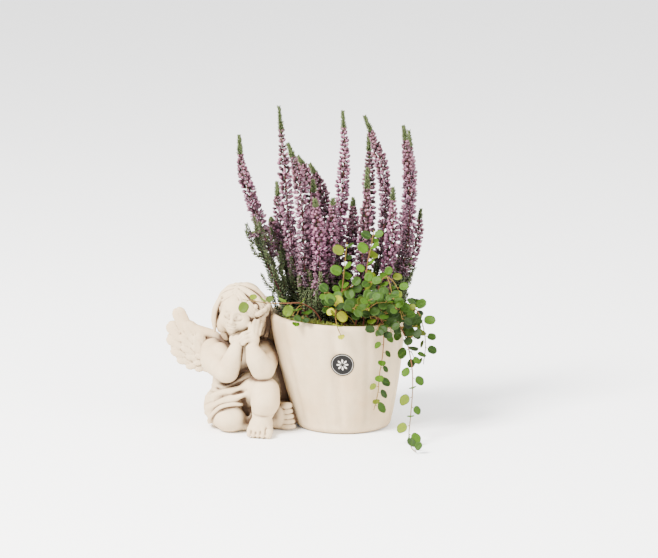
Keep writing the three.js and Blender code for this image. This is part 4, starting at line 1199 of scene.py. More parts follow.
VINES = [
    {"route": [[30, -26, 88], [38, -34, 112], [47, -43, 112], [57, -50, 96], [63, -57, 72],
               [64, -66, 50], [62, -78, 28], [60, -90, 9], [62, -106, 2.6], [66, -122, 2.4]],
     "leaves": 20, "from": 0.16},
    {"route": [[20, -34, 88], [28, -46, 110], [35, -56, 112], [37, -60, 100], [36, -60, 80],
               [33, -58, 60], [32, -56, 44], [28, -54, 26]], "leaves": 15, "from": 0.22},
    {"route": [[36, -14, 88], [47, -18, 113], [60, -20, 121], [70, -24, 114], [75, -28, 100],
               [77, -32, 84], [75, -36, 66]], "leaves": 15, "from": 0.2},
    {"route": [[-16, -32, 88], [-24, -37, 113], [-38, -41, 125], [-54, -48, 127], [-68, -53, 128],
               [-82, -55, 130], [-94, -56, 132]], "leaves": 7, "from": 0.3},
    {"route": [[2, -34, 88], [0, -40, 112], [-6, -50, 122], [-8, -60, 118], [-6, -68, 108],
               [-2, -69, 99]], "leaves": 8, "from": 0.3},
    {"route": [[18, -26, 88], [20, -29, 130], [22, -30, 160], [26, -29, 180], [28, -28, 193]],
     "leaves": 12, "from": 0.22},
    {"route": [[0, -26, 88], [-2, -29, 124], [0, -31, 152], [3, -31, 182]], "leaves": 11, "from": 0.2},
    {"route": [[10, -36, 88], [12, -44, 112], [16, -52, 124], [22, -58, 122], [26, -60, 112]],
     "leaves": 9, "from": 0.24},
    {"route": [[28, -36, 88], [34, -42, 116], [42, -48, 130], [51, -48, 130], [60, -44, 120]],
     "leaves": 11, "from": 0.2},
    {"route": [[-30, -32, 88], [-34, -38, 112], [-40, -46, 122], [-44, -52, 116], [-45, -54, 108]],
     "leaves": 7, "from": 0.3},
    {"route": [[24, -30, 88], [29, -33, 120], [33, -35, 141], [39, -37, 150], [46, -38, 146],
               [51, -39, 138]],
     "leaves": 12, "from": 0.2},
    {"route": [[34, 25, 88], [40, 30, 106], [49, 37, 117], [58, 44, 112], [62, 48, 97], [61, 48, 78]],
     "leaves": 8, "from": 0.3},
    {"route": [[-10, 39, 88], [-10, 40, 99], [-11, 44, 110], [-13, 54, 119], [-16, 66, 117],
               [-18, 73, 103], [-17, 73, 86]], "leaves": 8, "from": 0.3},
]


# Heather

PETAL_DARK_AND_SHADE = linear(0.17, 0.065, 0.10)
PETAL_MAUVE = linear(0.335, 0.165, 0.235)
PETAL_HIGHLIGHT = linear(0.74, 0.56, 0.645)
PETAL_MAGENTA = linear(0.42, 0.175, 0.315)
PETAL_WHITE = linear(0.82, 0.72, 0.77)
BUD_BROWN = linear(0.27, 0.145, 0.155)
PETAL_OLD = linear(0.31, 0.15, 0.19)
LEAF_TIP_GREEN = linear(0.25, 0.30, 0.14)
LEAF_DARK_GREEN = linear(0.16, 0.21, 0.11)
LEAF_POINT_PALE = linear(0.50, 0.52, 0.36)
STEM_BROWN = linear(0.29, 0.19, 0.14)
STEM_ROSE = linear(0.32, 0.16, 0.17)
STEM_GREEN = linear(0.30, 0.315, 0.15)
SEPAL, INNER, BRACT = range(3)  # kinds of blade in a flower
LOWEST_LIGHT = 0.5  # how dark the lowest flowers are
FLOWER_LIGHT = (0.45, 1.5)  # the darkest and the lightest flowers against the mean
WHORL_FLOWERS = 5
CROWDED_SHARE = 0.5  # of a spike's length, from below
WHORL_GAPS = (5.3, 3.6)  # from one whorl to the next, at the foot and at the tip of a spike


def blade(length, width, thickness, bend, lean, out=0.0):
    """A pointed closed blade along +Z from near the origin, ridged outside, towards +Y. It leans
    outwards by lean radians and its tip bends by bend."""
    points, shade = [(0, out, 0)], [0]
    for share, wide in ((0.42, 1.0), (0.8, 0.72)):
        z = length * share
        y = out + bend * share * share
        half = 0.5 * width * wide
        points += [(-half, y, z), (half, y, z), (0, y + thickness + 0.22 * width * wide, z)]
        shade += [share] * 3
    points.append((0, out + bend, length))
    shade.append(1)
    faces = [(0, 1, 2), (0, 2, 3), (0, 3, 1), (4, 7, 5), (5, 7, 6), (6, 7, 4)]
    for i in range(3):
        j = (i + 1) % 3
        faces += [(1 + i, 4 + i, 1 + j), (1 + j, 4 + i, 4 + j)]
    return np.array(points, float) @ turned((-lean, 0, 0)).T, np.array(faces), np.array(shade)


def whorl_of(blades):
    """One template from blades, each turned about Z by its own angle."""
    points, faces, shades, kinds = [], [], [], []
    count = 0
    for (p, f, s), angle, kind in blades:
        points.append(p @ turned((0, 0, angle)).T)
        faces.append(f + count)
        shades.append(s)
        kinds.append(np.full(len(p), kind))
        count += len(p)
    return np.vstack(points), np.vstack(faces), np.concatenate(shades), np.concatenate(kinds)


def floret_template(sepal, inner):
    """A heather flower along +Z on a thin stalk: two small bracts, four sepals and the paler
    petals inside them."""
    quarter = math.pi / 2
    bract = blade(2.0, 1.3, 0.2, 0.3, 0.5, 0.2)
    stalk_points, stalk_faces, stalk_shade = blade(3.2, 0.55, 0.2, 0, 0)
    stalk = (stalk_points - np.array([0, 0, 2.9]), stalk_faces, 0 * stalk_shade)
    blades = [(sepal, i * quarter, SEPAL) for i in range(4)]
    blades += [(inner, (i + 0.5) * 2 * quarter, INNER) for i in range(2)]
    blades += [(bract, (i + 0.25) * 2 * quarter, BRACT) for i in range(2)]
    return whorl_of([*blades, (stalk, 0, BRACT)])


OPEN_FLOWER = floret_template(blade(4.5, 2.6, 0.2, 0.9, 0.2, 0.3), blade(3.9, 1.6, 0.3, 0.2, 0.06, 0.05))
BUD = floret_template(blade(4.2, 2.3, 0.4, -0.45, 0.1, 0.55), blade(3.4, 1.2, 0.3, 0.0, 0.0, 0.05))
SCALE = blade(2.7, 1.0, 0.22, -0.25, 0.1)


def frames_along(axis, hint):
    """Rows X, Y and Z for templates whose Z goes along axis and whose Y leans towards hint."""
    x = unit(np.cross(hint, axis))
    return np.stack([x, np.cross(axis, x), axis], axis=1)


def round_stem(route, t, angle, rise, gap):
    """Places round a stem at a gap from its axis, and frames that look out and up by rise."""
    point, tangent, side, other = route.frame(t)
    round_it = np.cos(angle)[:, None] * side + np.sin(angle)[:, None] * other
    out = np.cos(rise)[:, None] * round_it + np.sin(rise)[:, None] * tangent
    return point + gap[:, None] * round_it, frames_along(unit(out), tangent)


def florets(parts, route, span, rng, warmth):
    """Flowers on short stalks, in whorls with the stem showing between them. They are open,
    wide and crowded below, and towards the tip they are smaller and steeper buds."""
    start, end = span
    length = (end - start) * route.length
    t, angles, share_up, inner = [], [], [], []
    at, whorl = 0.0, 0
    while at < length:
        share = at / length
        crowd = 3 if share < CROWDED_SHARE else 2
        for count, is_inner, spread in ((WHORL_FLOWERS, False, 0.5), (crowd, True, 1.6)):
            for i in range(count):
                t.append(start + (at + rng.uniform(-spread, spread)) / route.length)
                angles.append(2 * np.pi * (i + 0.5 * (whorl % 2)) / count + rng.uniform(-0.3, 0.3))
                share_up.append(share)
                inner.append(is_inner)
        at += blended(*WHORL_GAPS, share) * rng.uniform(0.9, 1.1)
        whorl += 1
    t = np.clip(t, start, 1)
    angles, share_up, inner = np.array(angles), np.array(share_up), np.array(inner)
    tip = smooth(0.7, 1.0, share_up)
    size = blended(blended(1.3, 1.12, share_up), 0.82, tip) * rng.uniform(0.82, 1.15, len(t))
    size = size * np.where(inner, 0.8, 1)
    rise = blended(0.48, 0.95, tip) + rng.uniform(-0.2, 0.2, len(t))
    gap = blended(2.4, 1.3, tip) * np.where(inner, 0.5, 1) * rng.uniform(0.8, 1.2, len(t))
    origins, frames = round_stem(route, t, angles, rise, gap)
    frames = spun(frames, rng.uniform(0, 2 * np.pi, len(t))) * size[:, None, None]
    is_bud = share_up + rng.uniform(-0.3, 0.3, len(t)) > 0.45
    for template, chosen in ((OPEN_FLOWER, ~is_bud), (BUD, is_bud)):
        points, faces, shade, kind = template
        tints = floret_tints(shade, kind, share_up[chosen], rng, warmth)
        parts.stamp((points, faces), origins[chosen], frames[chosen], tints, 0)


def spun(frames, spin):
    """Frames turned about their own Z."""
    cos, sin = np.cos(spin)[:, None], np.sin(spin)[:, None]
    x = cos * frames[:, 0] + sin * frames[:, 1]
    y = cos * frames[:, 1] - sin * frames[:, 0]
    return np.stack([x, y, frames[:, 2]], axis=1)


def floret_tints(shade, kind, share_up, rng, warmth):
    """Sepals go from painted shade at their foot to a painted highlight at their edge, and the inner
    petals from painted shade to white. Flowers are mauve or pink below and browner buds towards
    the tip, each a little lighter or darker."""
    count = len(share_up)
    open_mauve = blended(PETAL_MAUVE, PETAL_MAGENTA, warmth)
    bud = smooth(0.3, 0.95, share_up + rng.uniform(-0.3, 0.3, count))[:, None, None] * (1 - 0.5 * warmth)
    body = blended(open_mauve, BUD_BROWN, bud)
    body = blended(PETAL_OLD, body, smooth(0, 0.45, share_up)[:, None, None])
    # Painted highlight along the sepals' edges and tips, browner on buds
    pale = blended(PETAL_HIGHLIGHT, BUD_BROWN * 1.8, 0.5 * bud)
    # Painted shade at the feet of the sepals and inner petals; also the bracts' own dark colour
    dark = PETAL_DARK_AND_SHADE
    sepal = blended(dark, body, smooth(0.15, 0.75, shade)[:, None])
    sepal = blended(sepal, pale, (0.5 * smooth(0.65, 1, shade))[:, None])
    inner = blended(dark, PETAL_WHITE, (0.65 * smooth(0.3, 1, shade))[:, None] * (1 - 0.6 * bud))
    bract = blended(dark, STEM_GREEN, 0.35) + 0 * sepal
    tints = np.select([(kind == k)[None, :, None] for k in (SEPAL, INNER, BRACT)], [sepal, inner, bract])
    lit = blended(LOWEST_LIGHT, 1.1, smooth(0, 0.8, share_up))
    return tints * rng.uniform(*FLOWER_LIGHT, (count, 1, 1)) * lit[:, None, None]


def scale_leaves(parts, route, span, rng, spacing, size, rise, ranks, green):
    """Small pointed leaves close on a stem, in alternating whorls of ranks leaves. Their size and
    how steeply they rise go from a first to a last value over the span."""
    start, end = span
    rows = max(1, int((end - start) * route.length / spacing))
    row, rank = np.meshgrid(np.arange(rows), np.arange(ranks), indexing="ij")
    row, rank = row.reshape(-1), rank.reshape(-1)
    share = (row + 0.5) / rows
    t = np.clip(start + share * (end - start) + rng.uniform(-0.3, 0.3, len(row)) / route.length, 0, 0.998)
    angle = 2 * np.pi * (rank + 0.5 * (row % 2)) / ranks + rng.uniform(-0.2, 0.2, len(row))
    rising = blended(*rise, share) + rng.uniform(-0.12, 0.12, len(row))
    origins, frames = round_stem(route, t, angle, rising, np.full(len(row), 0.4))
    scale = blended(*size, share) * rng.uniform(0.85, 1.15, len(row))
    points, faces, shade = SCALE
    tint = blended(LEAF_DARK_GREEN, green, smooth(0.0, 0.7, shade)[:, None])
    tint = blended(tint, LEAF_POINT_PALE, (0.6 * smooth(0.75, 1, shade))[:, None])
    tints = tint[None] * rng.uniform(0.7, 1.2, (len(row), 1, 1))
    parts.stamp((points, faces), origins, frames * scale[:, None, None], tints, 1)


SHOOT_LENGTH = (14, 32)


def side_shoots(parts, route, span, rng, count):
    """Short leafy twigs from the foot of a stem, darker the lower they start."""
    for share in (np.arange(count) + rng.uniform(0, 1, count)) / count:
        t = blended(*span, share)
        angle = rng.uniform(0, 2 * np.pi)
        point, tangent, side, other = route.frame(t)
        out = np.cos(angle) * side + np.sin(angle) * other
        length = rng.uniform(*SHOOT_LENGTH) * (1 - 0.35 * share)
        tip = point + length * (0.36 * out + 0.9 * tangent)
        middle = point + length * (0.3 * out + 0.4 * tangent)
        twig = Route([point, middle, tip])
        stem_tube(parts, twig, STEM_BROWN, radius=0.35, columns=4, rows=5)
        green = blended(LEAF_DARK_GREEN, LEAF_TIP_GREEN, 0.2 + 0.6 * share)
        scale_leaves(parts, twig, (0.06, 1), rng, spacing=1.9, size=(1.8, 1.2), rise=(0.7, 1.15),
                     ranks=4, green=green)


def stem_tube(parts, route, colour, radius, columns, rows):
    """A thin woody stem, greener towards its tip."""
    t = np.linspace(0, 0.995, rows)
    radii = radius * blended(1.0, 0.45, t)
    tints = blended(colour, STEM_GREEN, smooth(0.8, 1, t)[:, None])
    parts.tube(route, t, radii, columns, tints, 2)


LEAFLESS_LENGTH = 12
WARM_STEMS = (9, 10, 11, 12, 19)  # these bear pinker flowers
SHOOTS = 14


def heather_stem(index, plan):
    """One stem: leafy below, then its spike of flowers, and a green leafy tip."""
    route = Route(plan["route"])
    rng = np.random.default_rng(40 + index)
    start, end = plan["flowers"]
    leafless = LEAFLESS_LENGTH / route.length
    warmth = 0.8 if index + 1 in WARM_STEMS else rng.uniform(0.1, 0.35)
    parts = Parts()
    stem_tube(parts, route, STEM_ROSE, radius=1.0, columns=6, rows=44)
    scale_leaves(parts, route, (leafless, start), rng, spacing=2.0, size=(2.2, 1.9), rise=(0.6, 0.75),
                 ranks=5, green=LEAF_DARK_GREEN)
    scale_leaves(parts, route, (start, end), rng, spacing=5.0, size=(1.1, 1.0), rise=(0.9, 1.0),
                 ranks=3, green=LEAF_TIP_GREEN)
    scale_leaves(parts, route, (end - 0.01, 0.995), rng, spacing=1.3, size=(1.7, 1.25), rise=(0.7, 1.1),
                 ranks=7, green=LEAF_TIP_GREEN)
    side_shoots(parts, route, (0.7 * leafless, start + 0.04), rng, SHOOTS)
    florets(parts, route, (start, end), rng, warmth)
    piece = parts.piece(f"heather_spike_{index + 1:02d}", [PETAL, SCALE_LEAF, BARK])
    fitted(piece, "heather", f"heather_{index + 1:02d}")


for number, heather_plan in enumerate(HEATHER):
    heather_stem(number, heather_plan)


# Wire vine

VINE_RADIUS = 0.8
VINE_SIDES = 3
LEAF_STALK = 2
STALK_RADIUS = 0.32
LEAF_RISE = 0.35
LEAF_COLUMNS = 26
LEAF_SHORTEST = 9.5
LEAF_LONGEST = 14
LEAF_TURNS = (0, 0.55, -0.55)
LEAF_MIDDLE = 0.55  # share of its length, from the stem
LEAF_ROOM = 0.47  # radius of the sphere that a leaf takes up, as a share of its length
LEAF_GREEN = linear(0.22, 0.345, 0.0)
LEAF_DEEP = linear(0.06, 0.15, 0.005)
LEAF_YELLOW = linear(0.55, 0.54, 0.09)
LEAF_UNDER = linear(0.24, 0.36, 0.04)
FLOWERING_REACH = 7.2  # room that a heather stem takes up round itself
LEAFY_REACH = 6
VINE_REACH = 0.6
VINE_STEM = linear(0.39, 0.23, 0.165)
VINE_STEM_PALE = linear(0.42, 0.34, 0.15)

# Rough spheres round the child's head and arms, as X, Y, Z and radius
CHILD_SPHERES = [(-98, -18, 118, 26), (-98, -14, 96, 22), (-118, -20, 66, 22), (-78, -28, 66, 24)]


def spheres_along(plan, first, spacing, reach_at):
    """Spheres along a stem from a share of its length on, as X, Y, Z and radius."""
    route = Route(plan["route"])
    spheres = []
    t = first
    while t <= 1:
        spheres.append((*route.point(t), reach_at(t)))
        t += spacing / route.length
    return spheres


def spike_spheres(plan):
    flowering = plan["flowers"][0] - 0.03
    return spheres_along(plan, 0.1, 3.5, lambda t: FLOWERING_REACH if t > flowering else LEAFY_REACH)


def vine_spheres(plan):
    return spheres_along(plan, 0.12, 4, lambda t: VINE_REACH)


def is_clear(centre, radius, obstacles):
    """Whether a sphere keeps off the ground, the pot and the spheres of the obstacles."""
    from_axis = math.hypot(centre[0] - pot_axis_x(centre[2]), centre[1])
    wall = float(pot_radius(min(centre[2], POT_HEIGHT)))
    outside = centre[2] > POT_HEIGHT + 3 + 0.5 * radius or from_axis > wall + 0.75 * radius + 1
    away = np.linalg.norm(obstacles[:, :3] - centre, axis=1) > radius + obstacles[:, 3]
    return centre[2] > 0.6 * radius and outside and bool(away.all())


STEM_SPHERES = [sphere for plan in HEATHER for sphere in spike_spheres(plan)]
LEAF_SPHERES = []


def leaf_facing(draw):
    """Roughly the way that a leaf's upper face looks: to the front and up."""
    return np.array([0.5 * draw() - 0.25, -0.9, 0.75])


def leaves_of(plan, index):
    """Where the leaves of a vine go: each at one of the stem's three sides, turned until clear."""
    route = Route(plan["route"])
    draw = random_from(100 + index)
    others = [sphere for other in VINES if other is not plan for sphere in vine_spheres(other)]
    obstacles = [*STEM_SPHERES, *CHILD_SPHERES, *LEAF_SPHERES, *others]
    leaves = []
    for k in range(plan["leaves"]):
        t = plan["from"] + (0.985 - plan["from"]) * (k + 0.5) / plan["leaves"]
        point, tangent, side, other = route.frame(t)
        length = LEAF_SHORTEST + (LEAF_LONGEST - LEAF_SHORTEST) * draw()
        first_side = k + math.floor(2 * draw())
        facing = leaf_facing(draw)
        for attempt in range(len(LEAF_TURNS) * VINE_SIDES):
            column = (first_side + attempt) % VINE_SIDES
            turn = LEAF_TURNS[attempt // VINE_SIDES]
            angle = 2 * math.pi * (column + 0.5) / VINE_SIDES + turn
            round_it = math.cos(angle) * side + math.sin(angle) * other
            outwards = unit(math.cos(LEAF_RISE) * round_it + math.sin(LEAF_RISE) * tangent)
            centre = point + LEAF_MIDDLE * length * outwards
            clearance = LEAF_ROOM * length
            if not is_clear(centre, clearance, np.array(obstacles)):
                continue
            across = unit(np.cross(facing, outwards))
            sphere = (*centre, clearance)
            obstacles.append(sphere)
            LEAF_SPHERES.append(sphere)
            leaves.append((point, outwards, across, np.cross(outwards, across), length))
            break
    return leaves


# Side twigs, which fill the vine out over the soil: how many each stem has, and along which
# share of it
TWIGS = {1: (6, 0.12, 0.4), 2: (6, 0.15, 0.4), 3: (4, 0.12, 0.5), 4: (1, 0.2, 0.4), 5: (2, 0.2, 0.6),
         6: (7, 0.15, 0.6), 7: (6, 0.15, 0.5), 8: (7, 0.15, 0.8), 9: (7, 0.15, 0.7), 10: (1, 0.2, 0.7),
         11: (7, 0.15, 0.7), 12: (5, 0.2, 0.7), 13: (5, 0.2, 0.6)}
TWIG_LENGTHS = (12, 24)
TWIG_ATTEMPTS = 12
TWIG_STEP = 5.5
CROWDING = 0.62  # how far twigs may press into what others take up
# The mound that the twigs keep inside: its top follows this curve from left to right
MOUND_X = (-60, -40, -12, 5, 40, 52, 62, 85)
MOUND_TOP = (112, 122, 146, 150, 150, 134, 116, 104)
MOUND_PAINTED_SHADE = 0.45  # painted shade: how dark the leaves deep in the mound are


def mound_top(x):
    return np.interp(x, MOUND_X, MOUND_TOP)


def free_twig(route, t, rng):
    """A short side stem where there is room for it inside the mound, or nothing."""
    point, tangent, side, other = route.frame(t)
    obstacles = np.array([*STEM_SPHERES, *CHILD_SPHERES, *LEAF_SPHERES])
    obstacles[:, 3] *= CROWDING
    for _ in range(TWIG_ATTEMPTS):
        angle = rng.uniform(0, 2 * np.pi)
        out = np.cos(angle) * side + np.sin(angle) * other
        length = rng.uniform(*TWIG_LENGTHS)
        way = unit(out + 0.5 * tangent + np.array([0, -0.35, 0.3]))
        tip = point + length * way - np.array([0, 0, 0.1 * length])
        clear = is_clear(tip, 2, obstacles) and is_clear(blended(point, tip, 0.6), 0.5, obstacles)
        if clear and tip[2] < mound_top(tip[0]):
            return Route([point, blended(point, tip, 0.5) + np.array([0, 0, 0.12 * length]), tip])
    return None


def twig_leaf(parts, rng, root, along, hand, length, vine_obstacles):
    """A leaf to the left or right of a twig, where there is room for it inside the mound."""
    facing = leaf_facing(rng.random)
    beside = unit(np.cross(facing, along)) * hand
    outwards = unit(beside + rng.uniform(0.2, 0.9) * along + rng.normal(0, 0.15, 3))
    length = rng.uniform(0.75, 1.0) * length
    centre = root + LEAF_MIDDLE * length * outwards
    radius = LEAF_ROOM * length
    obstacles = np.array([*STEM_SPHERES, *CHILD_SPHERES, *LEAF_SPHERES, *vine_obstacles])
    obstacles[:, 3] *= CROWDING
    top = mound_top(centre[0])
    if centre[2] < top + 3 and is_clear(centre, CROWDING * radius, obstacles):
        across = unit(np.cross(facing, outwards))
        LEAF_SPHERES.append((*centre, radius))
        # Painted shade: leaves lower in the mound, under the others, are darker
        depth = smooth(0.3, 1, (centre[2] - POT_HEIGHT) / (top - POT_HEIGHT))
        leaf = (root, outwards, across, np.cross(outwards, across), length)
        add_leaf(parts, rng, leaf, 0.0, blended(MOUND_PAINTED_SHADE, 1.0, depth))


def side_twigs(parts, index, plan, rng):
    """Thin side stems with leaves to their left and right, grown where there is room."""
    route = Route(plan["route"])
    count, start, end = TWIGS[index + 1]
    vine_obstacles = [sphere for other in VINES for sphere in vine_spheres(other)]
    for share in (np.arange(count) + rng.uniform(0.1, 0.9, count)) / count:
        twig = free_twig(route, blended(start, end, share), rng)
        if twig is None:
            continue
        t = np.linspace(0, 0.998, 8)
        parts.tube(twig, t, blended(0.5, 0.28, t), 5, VINE_STEM_PALE, 1)
        steps = max(2, int(twig.length / TWIG_STEP))
        for k in range(steps):
            root, along, _, _ = twig.frame((k + 0.9) / steps * 0.98)
            for hand in (-1, 1):
                longest = LEAF_LONGEST * (1 - 0.2 * k / steps)
                twig_leaf(parts, rng, root, along, hand, longest, vine_obstacles)


def leaf_template():
    """A round leaf of radius 1 about the origin, its stalk at -Y and its upper face to +Z. It has
    a small point, a shallow cup, a crease along its middle and faint side veins."""
    around = 2 * np.pi * np.arange(LEAF_COLUMNS) / LEAF_COLUMNS - np.pi / 2
    reach = 1 - 0.07 * np.cos(2 * (around - np.pi / 2)) ** 2
    reach = reach + 0.1 * np.exp(-(((around - np.pi / 2) / 0.2) ** 2))
    rings = np.array([0.36, 0.7, 1.0])

    def surface(share, side):
        x = share * reach * np.cos(around)
        y = share * reach * np.sin(around)
        cup = 0.16 * share**2 - 0.06 * np.exp(-((x / 0.12) ** 2)) * (1 - share**2)
        veins = 0.02 * np.cos(9 * around) * share * (1 - share)
        thick = 0.045 * (1 - share**2) + 0.012
        return np.stack([x, y, cup + veins + side * thick], -1)

    upper = [surface(share, 1) for share in rings]
    lower = [surface(share, -1) for share in rings[::-1]]
    points = np.vstack([*upper, *lower, [[0, 0, 0.035], [0, 0, -0.11]]])
    faces = tube_faces(len(rings) * 2, LEAF_COLUMNS)[:, ::-1]
    shade = np.concatenate([np.repeat(np.concatenate([rings, rings[::-1]]), LEAF_COLUMNS), [0, 0]])
    sheet = len(rings) * LEAF_COLUMNS
    under = np.concatenate([np.zeros(sheet), np.ones(sheet), [0, 1]])
    return points, faces, shade, under


LEAF = leaf_template()


def leaf_tint(rng, yellowness, light):
    """The colours of one leaf: deeper or yellower as a whole, paler at its edge and midrib."""
    points, _, shade, under = LEAF
    base = blended(LEAF_DEEP, LEAF_GREEN, rng.uniform(0.1, 1.0))
    base = blended(base, LEAF_YELLOW, yellowness)
    tint = np.repeat(base[None], len(shade), axis=0)
    pale = 0.35 * np.exp(-((points[:, 0] / 0.08) ** 2)) + 0.25 * smooth(0.85, 1, shade)
    tint = blended(tint, LEAF_UNDER, pale[:, None])
    # light darkens the whole leaf; on the side twigs it carries painted shade
    return blended(tint, LEAF_UNDER, (0.7 * under)[:, None]) * light * rng.uniform(0.8, 1.1)


def add_leaf(parts, rng, leaf, yellowness, light=1.0):
    """A leaf with its stalk. It droops, folds and twists a little, each its own way."""
    root, outwards, across, up, length = leaf
    half = 0.5 * (length - LEAF_STALK)
    centre = root + (LEAF_STALK + half) * outwards
    points, faces, *_ = LEAF
    shaped = points * np.array([0.93, 1.0, 1.0])
    fold = rng.uniform(-0.05, 0.22)
    droop = rng.uniform(-0.06, 0.16)
    twist = rng.uniform(-0.12, 0.12)
    x, y, _ = shaped.T
    shaped[:, 2] += fold * np.abs(x) - 0.35 * droop * (y + 1) ** 2 + twist * x * y
    frames = np.stack([across, outwards, up])[None] * half
    parts.stamp((shaped, faces), centre[None], frames, leaf_tint(rng, yellowness, light)[None], 0)
    bend = root + 0.55 * LEAF_STALK * outwards + 0.1 * up
    stalk = Route([root, bend, root + (LEAF_STALK + 0.3) * outwards])
    tint = blended(VINE_STEM, VINE_STEM_PALE, 0.6)
    parts.tube(stalk, np.linspace(0, 1, 4), np.full(4, STALK_RADIUS), 5, tint, 1)


YELLOW_VINES = {5: 0.75, 8: 0.2, 4: 0.25}  # how yellow their leaves are
YELLOWED = 0.15  # share of the other leaves that have begun to turn


def vine_stem(parts, route):
    """A thin stem that swells a little along its way, red at its foot and greener to its tip."""
    rows = max(20, int(route.length / 2.2))
    t = np.linspace(0, 0.998, rows)
    radii = VINE_RADIUS * blended(0.9, 0.45, t) * (1 + 0.06 * np.sin(0.9 * t * route.length))
    tints = blended(VINE_STEM, VINE_STEM_PALE, smooth(0.3, 0.9, t)[:, None])
    parts.tube(route, t, radii, 8, tints, 1)


def vines():
    """Each stem with its leaves. The leaves of all the stems are placed before the side twigs,
    which only fill the room that they leave."""
    drafts = []
    for index, plan in enumerate(VINES):
        rng = np.random.default_rng(70 + index)
        parts = Parts()
        vine_stem(parts, Route(plan["route"]))
        for leaf in leaves_of(plan, index):
            yellowness = YELLOW_VINES.get(index + 1, 0.0) * rng.uniform(0.4, 1.2)
            yellowness += 0.25 * (rng.random() > 1 - YELLOWED)
            add_leaf(parts, rng, leaf, min(1, yellowness))
        drafts.append((parts, rng))
    for index, (plan, (parts, rng)) in enumerate(zip(VINES, drafts)):
        side_twigs(parts, index, plan, rng)
        piece = parts.piece(f"wire_vine_{index + 1:02d}", [VINE_LEAF, BARK])
        fitted(piece, "vine_leaf", f"vine_{index + 1:02d}")


vines()


# Soil

PEAT_DARK = linear(0.175, 0.12, 0.075)
PEAT_BROWN = linear(0.31, 0.23, 0.14)
MOSS_OLIVE = linear(0.45, 0.42, 0.13)
MOSS_GREEN = linear(0.35, 0.43, 0.10)
SOIL_COLUMNS = 160
CRUMBS = 900
MOSS_BLADES = 5200
MOSS_SIDE = math.radians(238)  # the side of the pot where the moss grows up to the rim
MOSS_RISE = 6  # how much higher it stands there


def soil_height(x, y):
    """How far the peat's lumps stand up at a place."""
    wave = np.sin(0.31 * x + 1.3) * np.cos(0.27 * y - 0.4)
    ripple = 0.4 * np.sin(0.9 * x) * np.sin(0.8 * y) + 0.35 * np.sin(1.7 * x + 2 * np.sin(0.6 * y))
    return SOIL_LUMP * (wave + ripple)


def icosphere():
    """The vertices and triangles of a ball of radius 1, for crumbs of peat."""
    mesh = bpy.data.meshes.new("crumb")
    shape = bmesh.new()
    bmesh.ops.create_icosphere(shape, subdivisions=1, radius=1)
    shape.to_mesh(mesh)
    shape.free()
    points = np.array([v.co for v in mesh.vertices])
    faces = np.array([p.vertices for p in mesh.polygons])
    bpy.data.meshes.remove(mesh)
    return points, faces


def random_frames(rng, count):
    """Frames that look any way."""
    axis = unit(rng.normal(size=(count, 3)))
    hint = rng.normal(size=(count, 3))
    return frames_along(axis, hint)


def soil():
    """Peat with a lumpy top, crumbs on it, and tufts of moss towards the rim."""
    rng = np.random.default_rng(7)
    parts = Parts()
    fill = float(pot_radius(SOIL_EDGE)) - WALL - GAP
    turn = 2 * np.pi * np.arange(SOIL_COLUMNS) / SOIL_COLUMNS
    low = float(pot_radius(FLOOR)) - WALL - GAP
    side = [(low, FLOOR + GAP), (float(pot_radius(50)) - WALL - GAP, 50), (fill, SOIL_EDGE - 2)]
    top = []
    for share in np.linspace(0.995, 0.02, 44):
        top.append((fill * share, SOIL_TOP + SOIL_CROWN * (1 - share) - 2 * smooth(0.93, 1.0, share)))
    profile = np.array(side + top)
    r, z = profile[:, :1], profile[:, 1:]
    x, y = r * np.cos(turn), r * np.sin(turn)
    on_top = (z > SOIL_TOP - 3) & (r < 0.999 * fill)
    height = z + on_top * soil_height(x, y) + rim_wave(turn[None, :], z)
    rings = np.stack([x + pot_axis_x(z), y, height], -1).reshape(-1, 3)
    ends = np.array([[pot_axis_x(FLOOR), 0, FLOOR + GAP], [pot_axis_x(SOIL_TOP), 0, SOIL_TOP + SOIL_CROWN]])
    parts.add(np.vstack([rings, ends]), tube_faces(len(profile), SOIL_COLUMNS), PEAT_DARK, 0)

    def on_soil(count, low_share=0.0, high_share=0.97):
        reach = fill * np.sqrt(rng.uniform(low_share**2, high_share**2, count))
        angle = rng.uniform(0, 2 * np.pi, count)
        x, y = reach * np.cos(angle), reach * np.sin(angle)
        z = SOIL_TOP + SOIL_CROWN * (1 - reach / fill) + soil_height(x, y) + rim_wave(angle, SOIL_TOP)
        return np.stack([x + pot_axis_x(SOIL_TOP), y, z], -1)

    ball = icosphere()
    size = rng.uniform(0.5, 2.0, CRUMBS)
    frames = random_frames(rng, CRUMBS) * (size[:, None] * rng.uniform(0.6, 1.1, (CRUMBS, 3)))[:, :, None]
    browns = blended(PEAT_DARK, PEAT_BROWN, rng.uniform(0, 1, (CRUMBS, 1, 1)))
    parts.stamp(ball, on_soil(CRUMBS), frames, browns, 0)
    moss = blade(4.2, 0.9, 0.25, 0.8, 0.15)
    lean_x, lean_y = rng.normal(0, 0.45, MOSS_BLADES), rng.normal(0, 0.45, MOSS_BLADES)
    axis = unit(np.stack([lean_x, lean_y, np.ones(MOSS_BLADES)], -1))
    frames = frames_along(axis, rng.normal(size=(MOSS_BLADES, 3)))
    frames = frames * rng.uniform(0.5, 1.25, (MOSS_BLADES, 1, 1))
    greens = blended(MOSS_OLIVE, MOSS_GREEN, rng.uniform(0, 1, (MOSS_BLADES, 1, 1)))
    greens = greens * rng.uniform(0.55, 1.15, (MOSS_BLADES, 1, 1))
    feet = on_soil(MOSS_BLADES, 0.45, 0.985)
    out = np.stack([feet[:, 0] - pot_axis_x(SOIL_TOP), feet[:, 1]], -1) / fill
    side = out @ np.array([math.cos(MOSS_SIDE), math.sin(MOSS_SIDE)])
    feet[:, 2] += MOSS_RISE * smooth(0.45, 0.95, side)
    parts.stamp((moss[0], moss[1]), feet, frames, greens, 1)
    return parts.piece("peat_and_moss", [PEAT, SCALE_LEAF])


fitted(soil(), "soil", "soil")


# Stage, light and camera

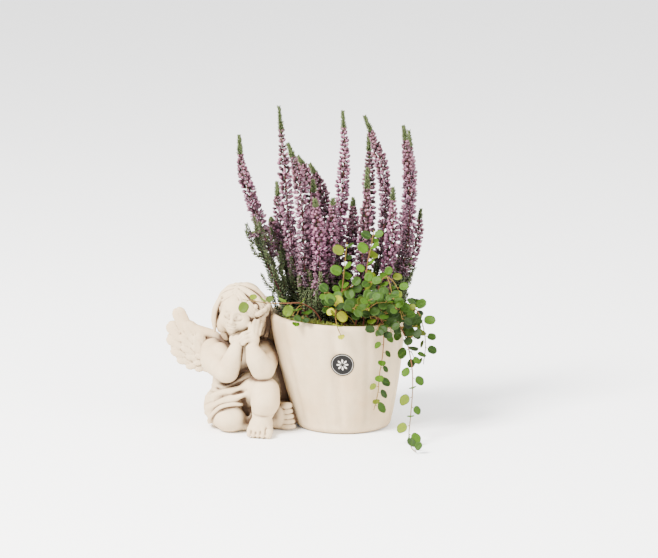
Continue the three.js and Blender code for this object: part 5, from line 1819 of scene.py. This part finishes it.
FLOOR_REACH = 30  # metres to each side
FLOOR_WHITE = 0.97
WORLD_STRENGTH = 2.3
LOOKED_AT = (-0.03, 0, 0.13)  # metres


def stage():
    mesh = bpy.data.meshes.new("floor")
    corners = [(x * FLOOR_REACH, y * FLOOR_REACH, 0) for x, y in ((-1, -1), (1, -1), (1, 1), (-1, 1))]
    mesh.from_pydata(corners, [], [(0, 1, 2, 3)])
    floor = bpy.data.objects.new("floor", mesh)
    bpy.context.scene.collection.objects.link(floor)
    paint = Paint("floor_white", 0.9, 0.1)
    paint.colour((FLOOR_WHITE, FLOOR_WHITE, FLOOR_WHITE))
    mesh.materials.append(paint.material)


def lamp(name, place, size, power, colour):
    """A soft square light that looks at the object's middle, its place and size in metres."""
    light = bpy.data.lights.new(name, "AREA")
    light.size = size
    light.energy = power
    light.color = colour
    holder = bpy.data.objects.new(name, light)
    holder.location = place
    aim = Vector(LOOKED_AT) - Vector(place)
    holder.rotation_euler = aim.to_track_quat("-Z", "Y").to_euler()
    bpy.context.scene.collection.objects.link(holder)


def world():
    sky = bpy.data.worlds.new("studio")
    bpy.context.scene.world = sky
    sky.use_nodes = True
    background = sky.node_tree.nodes["Background"]
    background.inputs["Color"].default_value = (1, 1, 1, 1)
    background.inputs["Strength"].default_value = WORLD_STRENGTH


def camera():
    data = bpy.data.cameras.new("camera")
    data.lens = CAMERA_LENS
    data.sensor_width = 36
    data.clip_start = 0.05
    data.clip_end = 100
    holder = bpy.data.objects.new("camera", data)
    target = Vector(CAMERA_TARGET) * MM
    elevation = math.radians(CAMERA_ELEVATION)
    back = Vector((0, -math.cos(elevation), math.sin(elevation)))
    holder.location = target + back * CAMERA_DISTANCE * MM
    holder.rotation_euler = (-back).to_track_quat("-Z", "Y").to_euler()
    bpy.context.scene.collection.objects.link(holder)
    bpy.context.scene.camera = holder


stage()
world()
lamp("key", (-1.6, -1.5, 2.2), size=1.1, power=440, colour=(1, 0.98, 0.95))
lamp("fill", (1.8, -1.4, 1.2), size=1.6, power=55, colour=(1, 1, 1))
camera()
